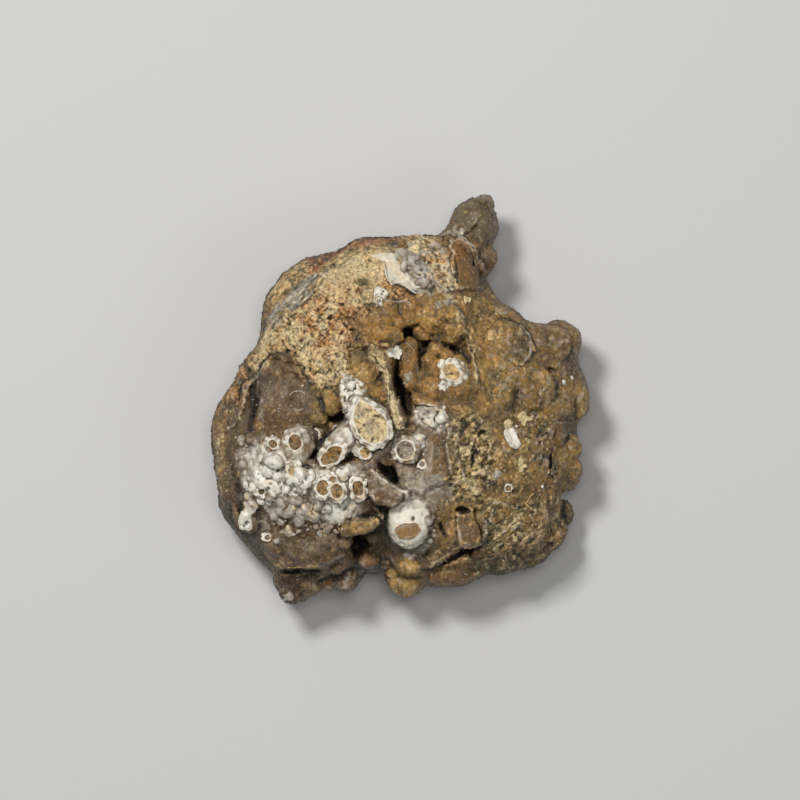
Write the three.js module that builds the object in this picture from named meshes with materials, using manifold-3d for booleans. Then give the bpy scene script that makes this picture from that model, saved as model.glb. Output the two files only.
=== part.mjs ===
// A hand specimen of chalcedony: one nodule, grown over with rounded lumps, broken stalactite stubs and ledges.
// It lies on its back, on a flat worn spot. Millimetres: +X right, +Y away from the lower rim, +Z up.
// The origin is on the surface it rests on, under the middle of its outline.
import * as THREE from "three";
import { ImprovedNoise } from "three/addons/math/ImprovedNoise.js";
import { mergeVertices } from "three/addons/utils/BufferGeometryUtils.js";
import Module from "manifold-3d";

// Driving dimensions.
const WAIST_Z = 16; // height of the widest section
const WAIST_TILT = 5; // how much higher the waist runs at the upper left than at the lower right
const CROWN_Z = 43; // height of the middle of the face, before the hills
const ROOT_DEPTH = 17.6; // how far the underside would reach below the waist, before it is cut flat
const SHOULDER = 2.5; // higher is a flatter face with steeper sides
const UNDERCUT = 2.3; // the same for the underside
const MIDDLE = new THREE.Vector2(0, -3); // the outline is seen as a star from here

// Detail of the faceted surfaces: how many more times an icosahedron's edge is split. A lump's goes by its radius.
const MASS_DETAIL = 13;
const FACE_BIAS = 0.32; // draws the mass's vertices up to its face, where the relief is
const LUMP_DETAIL = [{ radius: 5.4, detail: 2 }, { radius: 0, detail: 1 }];

// Unevenness of the mass: rounded cells all round, and noise.
const CELLS = [
  { rise: 3.4, size: 15 },
  { rise: 1.5, size: 7 },
];
const CELL_LIFT = 1; // puts the middle of the cells back on the smooth form
const MASS_ROUGHNESS = { rise: 1.1, wave: 9 };
const FACE_CALM = 0.4; // share of the unevenness that is left on the face, where the lumps are
const ROOT_CALM = 0.6; // and at the middle of the underside
const RELIEF_FADE = 7; // higher lets the lumps of the face reach nearer its outline
const LUMP_ROUGHNESS = 0.12; // share of a lump's radius
const FLOOR_BLOCK = 200; // side of the block that cuts the underside flat

// The widest outline, counter-clockwise from the right.
const OUTLINE = [
  [46.9, 1], [46.2, 7], [43.5, 12.5], [38.5, 16.5], [34.5, 18], [31, 20.5], [27.3, 24], [23.8, 26.5],
  [21.2, 31], [19.5, 36.3], [15.2, 40.2], [9, 41], [1.5, 41.6], [-3.8, 40.4], [-9.6, 40.7], [-14, 38.7],
  [-17.8, 36.6], [-25.2, 35.2], [-29.4, 31.7], [-33.3, 25.8], [-36.6, 17], [-41, 7.5], [-44.4, 1.8],
  [-46.6, -4], [-47.3, -9.5], [-46.9, -14], [-45.9, -20], [-45.2, -27], [-42.7, -31.6], [-39.7, -35.8],
  [-35.8, -39.8], [-32.3, -43.8], [-27.5, -49], [-22, -47.6], [-16, -44.8], [-9.5, -43.4], [-3.5, -43.6],
  [2, -45.5], [10, -46.9], [16.3, -46.9], [22.5, -45.2], [27.8, -43.4], [33.3, -41.7], [39, -37.2],
  [41.7, -32.5], [42.1, -27.5], [43, -22], [44.9, -17], [44.4, -11.7], [44.3, -7], [46.4, -3.8],
];

// Broad rises and falls of the face: a rise in millimetres that fades over its spread.
const HILLS = [
  { name: "bud field", at: [-26, -21], spread: 13, rise: 6.5 },
  { name: "stalactite hill", at: [-9, -3], spread: 10, rise: 5 },
  { name: "granular matrix", at: [-15, 22], spread: 14, rise: 3.5 },
  { name: "right sheet falling away", at: [37, 0], spread: 14, rise: -6 },
  { name: "lower slope", at: [-4, -38], spread: 9, rise: -5 },
  { name: "mossy lower right", at: [24, -24], spread: 11, rise: 2 },
];

// Rounded lumps moulded in the mass's own surface. proud is how far one stands above the mass at its middle;
// size is its three radii; turn is in degrees.
const LUMPS = [
  { name: "left dome", at: [-28.6, 0.2], proud: 3.6, size: [7.6, 10.4, 8], turn: 6 },
  { name: "dome left of the ridge", at: [-9.2, 3.8], proud: 2.6, size: [6, 9.4, 8], turn: 24 },
  { name: "dome beside the button", at: [9, -15], proud: 2.4, size: [5.2, 7.6, 7], turn: 0 },
  { name: "pocket roof lump", at: [10.6, 18.6], proud: 1.2, size: [7.4, 4.6, 6], turn: -6 },
  { name: "upper bead left", at: [-3.8, 21.6], proud: 1.2, size: [3.6, 3.8, 4], turn: 0 },
  { name: "upper bead right", at: [3, 22.6], proud: 1, size: [3.8, 3.6, 4], turn: 0 },
  { name: "lump below the beads", at: [-5.4, 16], proud: 1, size: [6, 3.2, 4], turn: -8 },
  { name: "bud field left", at: [-33, -19], proud: 1, size: [5, 6.4, 5], turn: 0 },
  { name: "bud field right", at: [-24.4, -19.6], proud: 1.6, size: [5, 5, 5], turn: 0 },
  { name: "bud field foot", at: [-23.6, -27.6], proud: 1.4, size: [7, 5, 5], turn: 0 },
  { name: "white apron", at: [-14, -27.4], proud: 1.2, size: [5.4, 3.6, 4], turn: 0 },
  { name: "bulge over the lower ledge", at: [-24, -37], proud: 3, size: [12.4, 6, 8], turn: 0 },
  { name: "white button", at: [2.4, -30], proud: 2.2, size: [5.4, 6.8, 6], turn: -8 },
  { name: "lump right of the button", at: [17.8, -32.6], proud: 2, size: [4.6, 4.6, 5], turn: 0 },
  { name: "orange slab", at: [15.4, 33.4], proud: 3, size: [4.6, 7.4, 6], turn: 10 },
  { name: "grey fibrous rib", at: [-26, 25.6], proud: 1.2, size: [2.6, 9, 4], turn: -48 },
  { name: "plate edge, upper", at: [27, 18], proud: 1.6, size: [6, 7, 5], turn: 30 },
  { name: "plate edge, lower", at: [28, 8], proud: 1.4, size: [7, 9, 5], turn: -20 },
  { name: "right field swell", at: [38, -3], proud: 1.8, size: [7, 8, 6], turn: 0 },
  { name: "lower right swell", at: [30, -30], proud: 1.6, size: [8, 8, 6], turn: 0 },
];

// Hollows cut into the mass. depth is how far one reaches below the mass at its middle; size and turn are as above.
const HOLLOWS = [
  { name: "pocket", at: [8.8, 10.6], depth: 11, size: [11, 10, 13], turn: 0 },
  { name: "cluster basin", at: [-17.4, -9.2], depth: 8, size: [14, 8, 11], turn: 8 },
  { name: "left groove", at: [-37.6, -1], depth: 3.4, size: [2.8, 10, 8], turn: -10 },
  { name: "hollow beside the mushrooms", at: [-10.6, -37.2], depth: 9, size: [3.6, 4.2, 12], turn: -10 },
  { name: "hollow under the lower ledge", at: [-24, -44.6], depth: 7, size: [7.4, 2.6, 10], turn: 4 },
  { name: "grey pool", at: [2.2, 32.4], depth: 2.4, size: [8.6, 5.4, 4], turn: -38 },
];

// Lumps that stand in the hollows. proud is how far above the uncut mass one stands at its middle.
const INNER_LUMPS = [
  { name: "pocket lump", at: [9.8, 3.4], proud: -0.6, size: [8.6, 6, 10], turn: 0 },
  { name: "pocket lump crown", at: [13.6, 7.4], proud: -0.4, size: [4.8, 4.4, 8], turn: 0 },
  { name: "pocket lump behind", at: [9.6, 12.2], proud: -3, size: [3.4, 3.4, 8], turn: 0 },
  { name: "pocket roof bead", at: [14, 15.4], proud: -1.6, size: [3.6, 3, 6], turn: 0 },
  { name: "pocket finger", at: [2.4, 8.6], proud: -2, size: [2.7, 6, 9], turn: 6 },
  { name: "cluster lump upper", at: [-17.6, -1], proud: 0.6, size: [4, 3, 7], turn: -28 },
  { name: "cluster lump middle", at: [-20.8, -4.6], proud: -1.4, size: [3.4, 4.4, 8], turn: -20 },
];

// Lumps and lobes joined on where the surface overhangs. top is the height of the highest point.
const KNOBS = [
  { name: "top knob root", at: [16, 38], top: 27, size: [7.4, 7, 9], turn: 0 },
  { name: "top knob", at: [18.3, 43.4], top: 25.4, size: [6.5, 7.2, 8], turn: -12 },
  { name: "top knob tip", at: [19.4, 48.2], top: 21.5, size: [3.2, 2.9, 5], turn: 0 },
  { name: "second top knob", at: [20, 34.8], top: 26, size: [4.3, 4.3, 7], turn: 0 },
  { name: "right knob root", at: [33.6, 13.2], top: 29.5, size: [7.6, 6.4, 10], turn: 0 },
  { name: "right knob", at: [40, 14.4], top: 24, size: [6, 6, 7.6], turn: 20 },
  { name: "right rim bead 1", at: [42.4, 1.8], top: 22.5, size: [4.9, 6, 8], turn: 0 },
  { name: "right rim bead 2", at: [40, -12], top: 22, size: [5.2, 5.6, 8], turn: 0 },
  { name: "right rim bead 3", at: [40.8, -19.4], top: 19.5, size: [4.8, 4.6, 7], turn: 0 },
  { name: "right rim bead 4", at: [37.4, -32.6], top: 21.5, size: [4.8, 5.2, 8], turn: 0 },
  { name: "lower lobe middle", at: [1.6, -43.6], top: 22.5, size: [5.6, 6.2, 8], turn: 0 },
  { name: "lower lobe middle crown", at: [2.6, -39.8], top: 30, size: [5, 5, 8], turn: 0 },
  { name: "lower lobe left", at: [-14.2, -42.8], top: 23.5, size: [5, 5.8, 8], turn: 0 },
  { name: "lower lobe left crown", at: [-15, -38.6], top: 31, size: [4.2, 4.6, 8], turn: 0 },
  { name: "lower corner", at: [-26.6, -44.4], top: 23.5, size: [5.4, 6.6, 8], turn: 22 },
  { name: "lower right slope", at: [13.6, -40.4], top: 27, size: [10.4, 6.6, 11], turn: 10 },
  { name: "lower right lobe", at: [26, -38.6], top: 26, size: [7, 5.2, 9], turn: 12 },
  { name: "lower ring lump", at: [-8, -39.8], top: 29.5, size: [3, 2.8, 5], turn: 0 },
  { name: "mushroom", at: [-13.9, -35.2], top: 37.6, size: [2, 2.1, 5], turn: 0 },
  { name: "white bud, top", at: [-31.6, -15.2], top: 44.8, size: [2.5, 2.7, 5], turn: 0 },
  { name: "white bud, left", at: [-37.6, -28.2], top: 34.4, size: [2, 3.4, 6], turn: -34 },
  { name: "bead under the ledge", at: [-6.6, -34.2], top: 34.4, size: [2.1, 1.9, 5], turn: 0 },
];

// Broken stalactites: tapered stubs from a root inside the mass to a broken end that leans.
const STUBS = [
  { name: "large core", at: [-8, -5.2], proud: 3.6, radii: [4.1, 6.2], turn: 26, lean: [0.12, -0.16], length: 14 },
  { name: "left tube", at: [-26, -11], proud: -0.4, radii: [2.9, 3.7], turn: -20, lean: [-0.14, -0.16], length: 10 },
  { name: "middle tube", at: [-17, -12.8], proud: 1.2, radii: [2.8, 4.6], turn: -44, lean: [-0.14, -0.2], length: 12 },
  { name: "thin tube", at: [-9.3, -12.6], proud: 0, radii: [1.8, 2.3], turn: 40, lean: [0.3, -0.36], length: 10 },
  { name: "round ring", at: [1.1, -12.6], proud: 2, radii: [3.3, 3.1], turn: 0, lean: [-0.06, -0.08], length: 9 },
  { name: "twin left", at: [-19, -21.6], proud: 2, radii: [2.3, 2.4], turn: 0, lean: [-0.1, -0.1], length: 9 },
  { name: "twin right", at: [-15.9, -22.5], proud: 2.4, radii: [2.3, 2.6], turn: 0, lean: [0.05, -0.1], length: 9 },
  { name: "square tube", at: [-10.4, -22.4], proud: 1.4, radii: [1.8, 2.2], turn: 0, lean: [0.05, -0.2], length: 9 },
  { name: "leftmost tube", at: [-31.9, -10.7], proud: 0, radii: [1.6, 1.4], turn: 0, lean: [0, -0.1], length: 8 },
];
const STUB_SIDES = 10;
const STUB_SWELL = 1.25; // how much wider a stub is at its root
const STUB_UNEVENNESS = 0.07;

// Thin broken walls and plates, each a plan outline between two heights.
const SLABS = [
  {
    name: "cream ridge",
    outline: [[-6, 13.6], [-3, 14.4], [-1.4, 11.4], [-0.9, 6], [-0.4, 1], [0.6, -5], [-0.6, -7.8],
      [-2.2, -4], [-2.8, 2], [-3.4, 7], [-5.6, 10.4]],
    base: 30, top: 49, bevel: 0.9,
  },
  {
    name: "lip under the slot",
    outline: [[-7, -16.5], [-4.6, -18.6], [-1.4, -21.6], [1.6, -23.2], [-1.5, -26.6], [-6, -26], [-9, -21.5]],
    base: 34, top: 45.4, bevel: 1,
  },
  {
    name: "lower plate",
    outline: [[-15, -31.5], [-9.6, -29.6], [-6.4, -29.4], [-4.6, -28.8], [-5.4, -31.4], [-8.4, -33.4], [-15, -34.4]],
    base: 32, top: 43.6, bevel: 0.7,
  },
];

// Narrow deep holes, cut last. depth is how far one reaches below the mass there.
const HOLES = [
  { name: "pocket left slot", at: [0.9, 2.2], depth: 17, size: [2, 7, 20], turn: 14 },
  { name: "pocket roof hole", at: [1.8, 16.8], depth: 19, size: [2, 2, 22], turn: 0 },
  { name: "cluster deep end", at: [-16.2, -4], depth: 15, size: [2.6, 1.8, 17], turn: 0 },
  { name: "slot behind the lip", at: [-2.4, -18.2], depth: 13, size: [4.8, 1.9, 16], turn: -40 },
  { name: "gap over the lower right slope", at: [15.2, -38.2], depth: 7, size: [5.8, 1.5, 10], turn: 26 },
];

const noise = new ImprovedNoise();
const wasm = await Module();
wasm.setup();

// Polar form of the outline, sorted by angle, for outlineRadius.
const polarOutline = OUTLINE.map(([x, y]) => {
  const arm = new THREE.Vector2(x, y).sub(MIDDLE);
  return { angle: arm.angle(), radius: arm.length() };
}).sort((a, b) => a.angle - b.angle);

// Distance from MIDDLE to the outline in a direction, on a smooth closed curve through its points.
function outlineRadius(direction) {
  const angle = THREE.MathUtils.euclideanModulo(direction, 2 * Math.PI);
  const count = polarOutline.length;
  let next = polarOutline.findIndex((p) => p.angle > angle);
  if (next < 0) next = count;
  const point = (i) => {
    const p = polarOutline[THREE.MathUtils.euclideanModulo(i, count)];
    return { angle: p.angle + 2 * Math.PI * Math.floor(i / count), radius: p.radius };
  };
  const [a, b, c, d] = [point(next - 2), point(next - 1), point(next), point(next + 1)];
  const t = (angle - b.angle) / (c.angle - b.angle);
  const slopeB = ((c.radius - a.radius) / (c.angle - a.angle)) * (c.angle - b.angle);
  const slopeC = ((d.radius - b.radius) / (d.angle - b.angle)) * (c.angle - b.angle);
  const t2 = t * t;
  const t3 = t2 * t;
  return (2 * t3 - 3 * t2 + 1) * b.radius + (t3 - 2 * t2 + t) * slopeB + (3 * t2 - 2 * t3) * c.radius
    + (t3 - t2) * slopeC;
}

// Height of the face's crown at a place, with the hills on it.
function crownHeight(x, y) {
  return HILLS.reduce((height, hill) => {
    const distance = Math.hypot(x - hill.at[0], y - hill.at[1]) / hill.spread;
    return height + hill.rise * Math.exp(-distance * distance);
  }, CROWN_Z);
}

// Height of the widest section in a direction.
function waistHeight(angle) {
  return WAIST_Z + WAIST_TILT * Math.cos(angle - 0.75 * Math.PI);
}

// Height of the mass at a place in plan, before the lumps.
function faceHeight(x, y) {
  const arm = new THREE.Vector2(x, y).sub(MIDDLE);
  const share = Math.min(1, arm.length() / outlineRadius(arm.angle()));
  const waist = waistHeight(arm.angle());
  return waist + (crownHeight(x, y) - waist) * Math.sqrt(1 - share ** SHOULDER);
}

// How far out of an oval feature a place is: 0 in its middle, 1 on its edge.
function ovalShare({ at, size, turn }, x, y) {
  const place = new THREE.Vector2(x - at[0], y - at[1]);
  place.rotateAround(new THREE.Vector2(), THREE.MathUtils.degToRad(-turn));
  return Math.hypot(place.x / size[0], place.y / size[1]);
}

// How much the moulded lumps lift the face at a place; they die out where it turns down at the outline.
function relief(x, y) {
  const arm = new THREE.Vector2(x, y).sub(MIDDLE);
  const fade = 1 - Math.min(1, arm.length() / outlineRadius(arm.angle())) ** RELIEF_FADE;
  const bare = faceHeight(x, y);
  return fade * LUMPS.reduce((best, lump) => {
    const share = ovalShare(lump, x, y);
    if (share >= 1) return best;
    const top = faceHeight(...lump.at) + lump.proud;
    return Math.max(best, top - bare - lump.size[2] * (1 - Math.sqrt(1 - share * share)));
  }, 0);
}

// A repeatable number from 0 to 1 for a cell of a grid.
function chance(i, j, k, salt) {
  const wave = Math.sin(i * 127.1 + j * 311.7 + k * 74.7 + salt * 53.3) * 43758.5453;
  return wave - Math.floor(wave);
}

// Squared distance to the nearest scattered seed, in cells: low on a rounded cell, high in the valley between two.
function cellValley(point, size) {
  const home = point.clone().divideScalar(size);
  const corner = home.clone().floor();
  let nearest = Infinity;
  for (let i = -1; i <= 1; i += 1) {
    for (let j = -1; j <= 1; j += 1) {
      for (let k = -1; k <= 1; k += 1) {
        const cell = [corner.x + i, corner.y + j, corner.z + k];
        const seed = new THREE.Vector3(...cell.map((c, axis) => c + chance(...cell, axis)));
        nearest = Math.min(nearest, seed.distanceToSquared(home));
      }
    }
  }
  return Math.min(1, nearest);
}

// How far the mass's surface lies outside its smooth form at a point.
function unevenness(point) {
  const { rise, wave } = MASS_ROUGHNESS;
  const cells = CELLS.reduce((sum, layer) => sum - layer.rise * cellValley(point, layer.size), CELL_LIFT);
  return cells + rise * noise.noise(point.x / wave, point.y / wave, point.z / wave);
}

// Moves each vertex of a geometry to where place puts it.
function reshape(geometry, place) {
  const position = geometry.getAttribute("position");
  const vertex = new THREE.Vector3();
  for (let i = 0; i < position.count; i += 1) {
    vertex.fromBufferAttribute(position, i);
    place(vertex);
    position.setXYZ(i, vertex.x, vertex.y, vertex.z);
  }
  return geometry;
}

// The nodule's own mass: a sphere drawn out to the outline, the crown and the underside.
function massGeometry() {
  return reshape(new THREE.IcosahedronGeometry(1, MASS_DETAIL), (vertex) => {
    vertex.z += FACE_BIAS;
    vertex.normalize();
    const direction = vertex.clone();
    const share = Math.hypot(vertex.x, vertex.y);
    const angle = Math.atan2(vertex.y, vertex.x);
    const reach = outlineRadius(angle) * share;
    const waist = waistHeight(angle);
    vertex.x = MIDDLE.x + reach * Math.cos(angle);
    vertex.y = MIDDLE.y + reach * Math.sin(angle);
    const up = direction.z >= 0;
    const rise = up ? crownHeight(vertex.x, vertex.y) - waist : -ROOT_DEPTH - waist + WAIST_Z;
    vertex.z = waist + rise * Math.sqrt(Math.max(0, 1 - share ** (up ? SHOULDER : UNDERCUT)));
    const calm = THREE.MathUtils.lerp(1, up ? FACE_CALM : ROOT_CALM, Math.abs(direction.z));
    const bumps = unevenness(vertex) * calm;
    if (up) vertex.z += relief(vertex.x, vertex.y);
    vertex.addScaledVector(direction, bumps);
  });
}

// An uneven ellipsoid with its top at a height.
function lumpGeometry({ at, size, turn }, top) {
  const { detail } = LUMP_DETAIL.find(({ radius }) => Math.max(size[0], size[1]) > radius);
  const geometry = reshape(new THREE.IcosahedronGeometry(1, detail), (vertex) => {
    const bump = noise.noise(vertex.x * 1.7 + at[0], vertex.y * 1.7 + at[1], vertex.z * 1.7);
    vertex.multiplyScalar(1 + LUMP_ROUGHNESS * bump);
  });
  return geometry
    .scale(...size)
    .rotateZ(THREE.MathUtils.degToRad(turn))
    .translate(at[0], at[1], top - size[2]);
}

// The tool for a hollow: its ellipsoid stands in and above the mass, with its lowest point at the hollow's depth.
function hollowGeometry(hollow) {
  return lumpGeometry(hollow, faceHeight(...hollow.at) - hollow.depth + 2 * hollow.size[2]);
}

// A stalactite stub: a tapered, uneven, oval column that leans, broken off square.
function stubGeometry({ at, proud, radii, turn, lean, length }) {
  const column = new THREE.CylinderGeometry(1, STUB_SWELL, length, STUB_SIDES, 1).rotateX(Math.PI / 2);
  reshape(column, (vertex) => {
    const bump = noise.noise(vertex.x * 2 + at[0], vertex.y * 2 + at[1], vertex.z / 3);
    vertex.x *= radii[0] * (1 + STUB_UNEVENNESS * bump);
    vertex.y *= radii[1] * (1 + STUB_UNEVENNESS * bump);
  });
  column.rotateZ(THREE.MathUtils.degToRad(turn)).translate(0, 0, -length / 2);
  const leaning = new THREE.Quaternion().setFromUnitVectors(
    new THREE.Vector3(0, 0, 1),
    new THREE.Vector3(lean[0], lean[1], 1).normalize(),
  );
  return column.applyQuaternion(leaning).translate(at[0], at[1], faceHeight(...at) + proud);
}

// A plate or wall with bevelled edges.
function slabGeometry({ outline, base, top, bevel }) {
  const shape = new THREE.Shape(outline.map(([x, y]) => new THREE.Vector2(x, y)));
  return new THREE.ExtrudeGeometry(shape, {
    depth: top - base - 2 * bevel,
    bevelSize: bevel,
    bevelThickness: bevel,
    bevelOffset: -bevel,
    bevelSegments: 1,
  }).translate(0, 0, base + bevel);
}

// A closed three.js geometry as a manifold-3d solid.
function solid(geometry) {
  const bare = geometry.index ? geometry.toNonIndexed() : geometry.clone();
  bare.deleteAttribute("normal");
  bare.deleteAttribute("uv");
  const merged = mergeVertices(bare, 1e-4);
  return new wasm.Manifold(new wasm.Mesh({
    numProp: 3,
    vertProperties: merged.getAttribute("position").array,
    triVerts: new Uint32Array(merged.index.array),
  }));
}

// A manifold-3d solid as a three.js geometry.
function geometryOf(manifold) {
  const { vertProperties, triVerts } = manifold.getMesh();
  const geometry = new THREE.BufferGeometry();
  geometry.setAttribute("position", new THREE.BufferAttribute(vertProperties, 3));
  geometry.setIndex(new THREE.BufferAttribute(triVerts, 1));
  geometry.computeVertexNormals();
  return geometry;
}

const joined = (body, geometries) => geometries.reduce((sum, geometry) => sum.add(solid(geometry)), body);
const cut = (body, geometries) => geometries.reduce((sum, geometry) => sum.subtract(solid(geometry)), body);

// The whole nodule: the mass, hollowed, with all that is joined on, less the narrow holes, cut flat below.
function noduleSolid() {
  const hollowed = cut(solid(massGeometry()), HOLLOWS.map(hollowGeometry));
  const grown = joined(hollowed, [
    ...INNER_LUMPS.map((lump) => lumpGeometry(lump, faceHeight(...lump.at) + lump.proud)),
    ...KNOBS.map((knob) => lumpGeometry(knob, knob.top)),
    ...STUBS.map(stubGeometry),
    ...SLABS.map(slabGeometry),
  ]);
  const floor = new THREE.BoxGeometry(FLOOR_BLOCK, FLOOR_BLOCK, FLOOR_BLOCK).translate(0, 0, -FLOOR_BLOCK / 2);
  return cut(grown, [...HOLES.map(hollowGeometry), floor]);
}

const nodule = new THREE.Mesh(
  geometryOf(noduleSolid()),
  new THREE.MeshStandardMaterial({ color: 0x8a6a45, roughness: 0.6, metalness: 0 }),
);
nodule.name = "chalcedony_nodule";

const specimen = new THREE.Group();
specimen.add(nodule);
export default specimen;
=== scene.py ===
"""A hand specimen of chalcedony, dressed: it lies on its back, and the camera looks straight down on its best face.

Lengths are in millimetres until a mesh is made, which is in metres. A place on the face is named by its spot in
the reference view, 800 units wide with the origin at its upper left corner, a quarter of a millimetre a unit.
"""
from __future__ import annotations

import logging
import math
from dataclasses import dataclass, field
from enum import Enum
from functools import partial
from typing import Callable, Sequence

import bpy
import numpy as np
import openvdb as vdb
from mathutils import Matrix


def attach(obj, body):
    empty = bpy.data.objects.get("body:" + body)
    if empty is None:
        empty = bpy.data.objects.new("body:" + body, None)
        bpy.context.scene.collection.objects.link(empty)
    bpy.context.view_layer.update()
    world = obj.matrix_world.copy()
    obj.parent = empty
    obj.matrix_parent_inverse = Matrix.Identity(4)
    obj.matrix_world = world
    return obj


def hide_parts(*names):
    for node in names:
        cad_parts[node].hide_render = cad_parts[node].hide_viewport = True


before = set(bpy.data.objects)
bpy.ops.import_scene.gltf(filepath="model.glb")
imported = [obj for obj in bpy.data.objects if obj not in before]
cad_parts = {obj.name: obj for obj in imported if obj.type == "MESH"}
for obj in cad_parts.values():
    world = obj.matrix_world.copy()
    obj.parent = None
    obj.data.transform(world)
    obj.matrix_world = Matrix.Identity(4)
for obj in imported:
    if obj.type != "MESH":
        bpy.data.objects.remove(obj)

NODE = "chalcedony_nodule"
BODY = "root"
UNIT_MM = 0.25  # size of a unit of the reference view on the stone
VIEW_MIDDLE = 400.0
LOG = logging.getLogger("specimen")

Array = np.ndarray
Spot = tuple[float, float]


def place(spot: Sequence[float]) -> tuple[float, float]:
    """Turn a spot of the reference view into millimetres on the stone.

    Args:
        spot: The spot, right and down from the view's upper left corner.

    Returns:
        X and Y in millimetres.
    """
    return (spot[0] - VIEW_MIDDLE) * UNIT_MM, (VIEW_MIDDLE - spot[1]) * UNIT_MM


def smooth(low: float, high: float, value: Array) -> Array:
    """Rise smoothly from 0 at low to 1 at high.

    Args:
        low: Where the rise starts.
        high: Where it ends; it may be below low.
        value: The values to map.

    Returns:
        Numbers from 0 to 1.
    """
    t = np.clip((value - low) / (high - low), 0.0, 1.0)
    return t * t * (3.0 - 2.0 * t)


def linear(rgb: Sequence[float]) -> Array:
    """Turn an 8-bit display colour into linear light."""
    c = np.asarray(rgb, float) / 255.0
    return np.where(c <= 0.04045, c / 12.92, ((c + 0.055) / 1.055) ** 2.4)


def limited(tint: Array) -> Array:
    """Hold colours below the brightest that a real surface has, without changing their hue."""
    return np.maximum(tint * np.minimum(1.0, 0.86 / np.maximum(tint.max(axis=-1, keepdims=True), 1e-6)), 0.003)


class Noise:
    """Repeatable noises of points in space, all from a hash of a lattice."""

    @staticmethod
    def lattice(cell: Array, seed: int) -> Array:
        """Give each lattice cell a random number.

        Args:
            cell: Whole numbers, three to a cell.
            seed: Which noise.

        Returns:
            Numbers from 0 to 1.
        """
        c = cell.astype(np.int64).astype(np.uint32)
        h = c[..., 0] * np.uint32(374761393) ^ c[..., 1] * np.uint32(668265263) ^ c[..., 2] * np.uint32(2246822519)
        h = h ^ np.uint32((seed * 3266489917 + 97) & 0xFFFFFFFF)
        h = (h ^ (h >> np.uint32(13))) * np.uint32(1274126177)
        h = (h ^ (h >> np.uint32(16))) * np.uint32(2654435761)
        return (h ^ (h >> np.uint32(15))).astype(np.float64) / 4294967295.0

    @classmethod
    def value(cls, points: Array, size: float, seed: int) -> Array:
        """Give a smooth noise from 0 to 1 whose lumps are about size wide."""
        p = points / size
        base = np.floor(p)
        f = p - base
        f = f * f * f * (f * (f * 6.0 - 15.0) + 10.0)
        total = np.zeros(len(points))
        for corner in range(8):
            step = np.array([corner & 1, corner >> 1 & 1, corner >> 2 & 1])
            weight = np.prod(np.where(step == 1, f, 1.0 - f), axis=1)
            total += weight * cls.lattice(base + step, seed)
        return total

    @classmethod
    def cloud(cls, points: Array, size: float, seed: int, octaves: int = 4) -> Array:
        """Give a cloudy noise of several sizes, mostly from 0.2 to 0.8."""
        total, weight, span = np.zeros(len(points)), 0.5, 0.0
        for octave in range(octaves):
            total += weight * cls.value(points, size / 2.0**octave, seed + 31 * octave)
            span += weight
            weight *= 0.55
        return total / span

    @classmethod
    def cells(cls, points: Array, size: float, seed: int) -> tuple[Array, Array, Array]:
        """Find the nearest and second nearest of scattered seeds.

        Args:
            points: Where to look.
            size: The cells' width.
            seed: Which scatter.

        Returns:
            Distance to the nearest seed and to the second, in cells, and the nearest cell's own random number.
        """
        p = points / size
        base = np.floor(p)
        first = np.full(len(points), 9.0)
        second = np.full(len(points), 9.0)
        nearest = np.zeros((len(points), 3))
        for i in (-1, 0, 1):
            for j in (-1, 0, 1):
                for k in (-1, 0, 1):
                    cell = base + np.array([i, j, k])
                    code = (cls.lattice(cell, seed) * 1073741823.0).astype(np.int64)
                    jitter = np.stack([code & 1023, code >> 10 & 1023, code >> 20 & 1023], axis=1) / 1023.0
                    distance = np.sqrt(((cell + jitter - p) ** 2).sum(axis=1))
                    nearer = distance < first
                    second = np.where(nearer, first, np.minimum(second, distance))
                    nearest[nearer] = cell[nearer]
                    first = np.where(nearer, distance, first)
        return first, second, cls.lattice(nearest, seed + 7)


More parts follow.
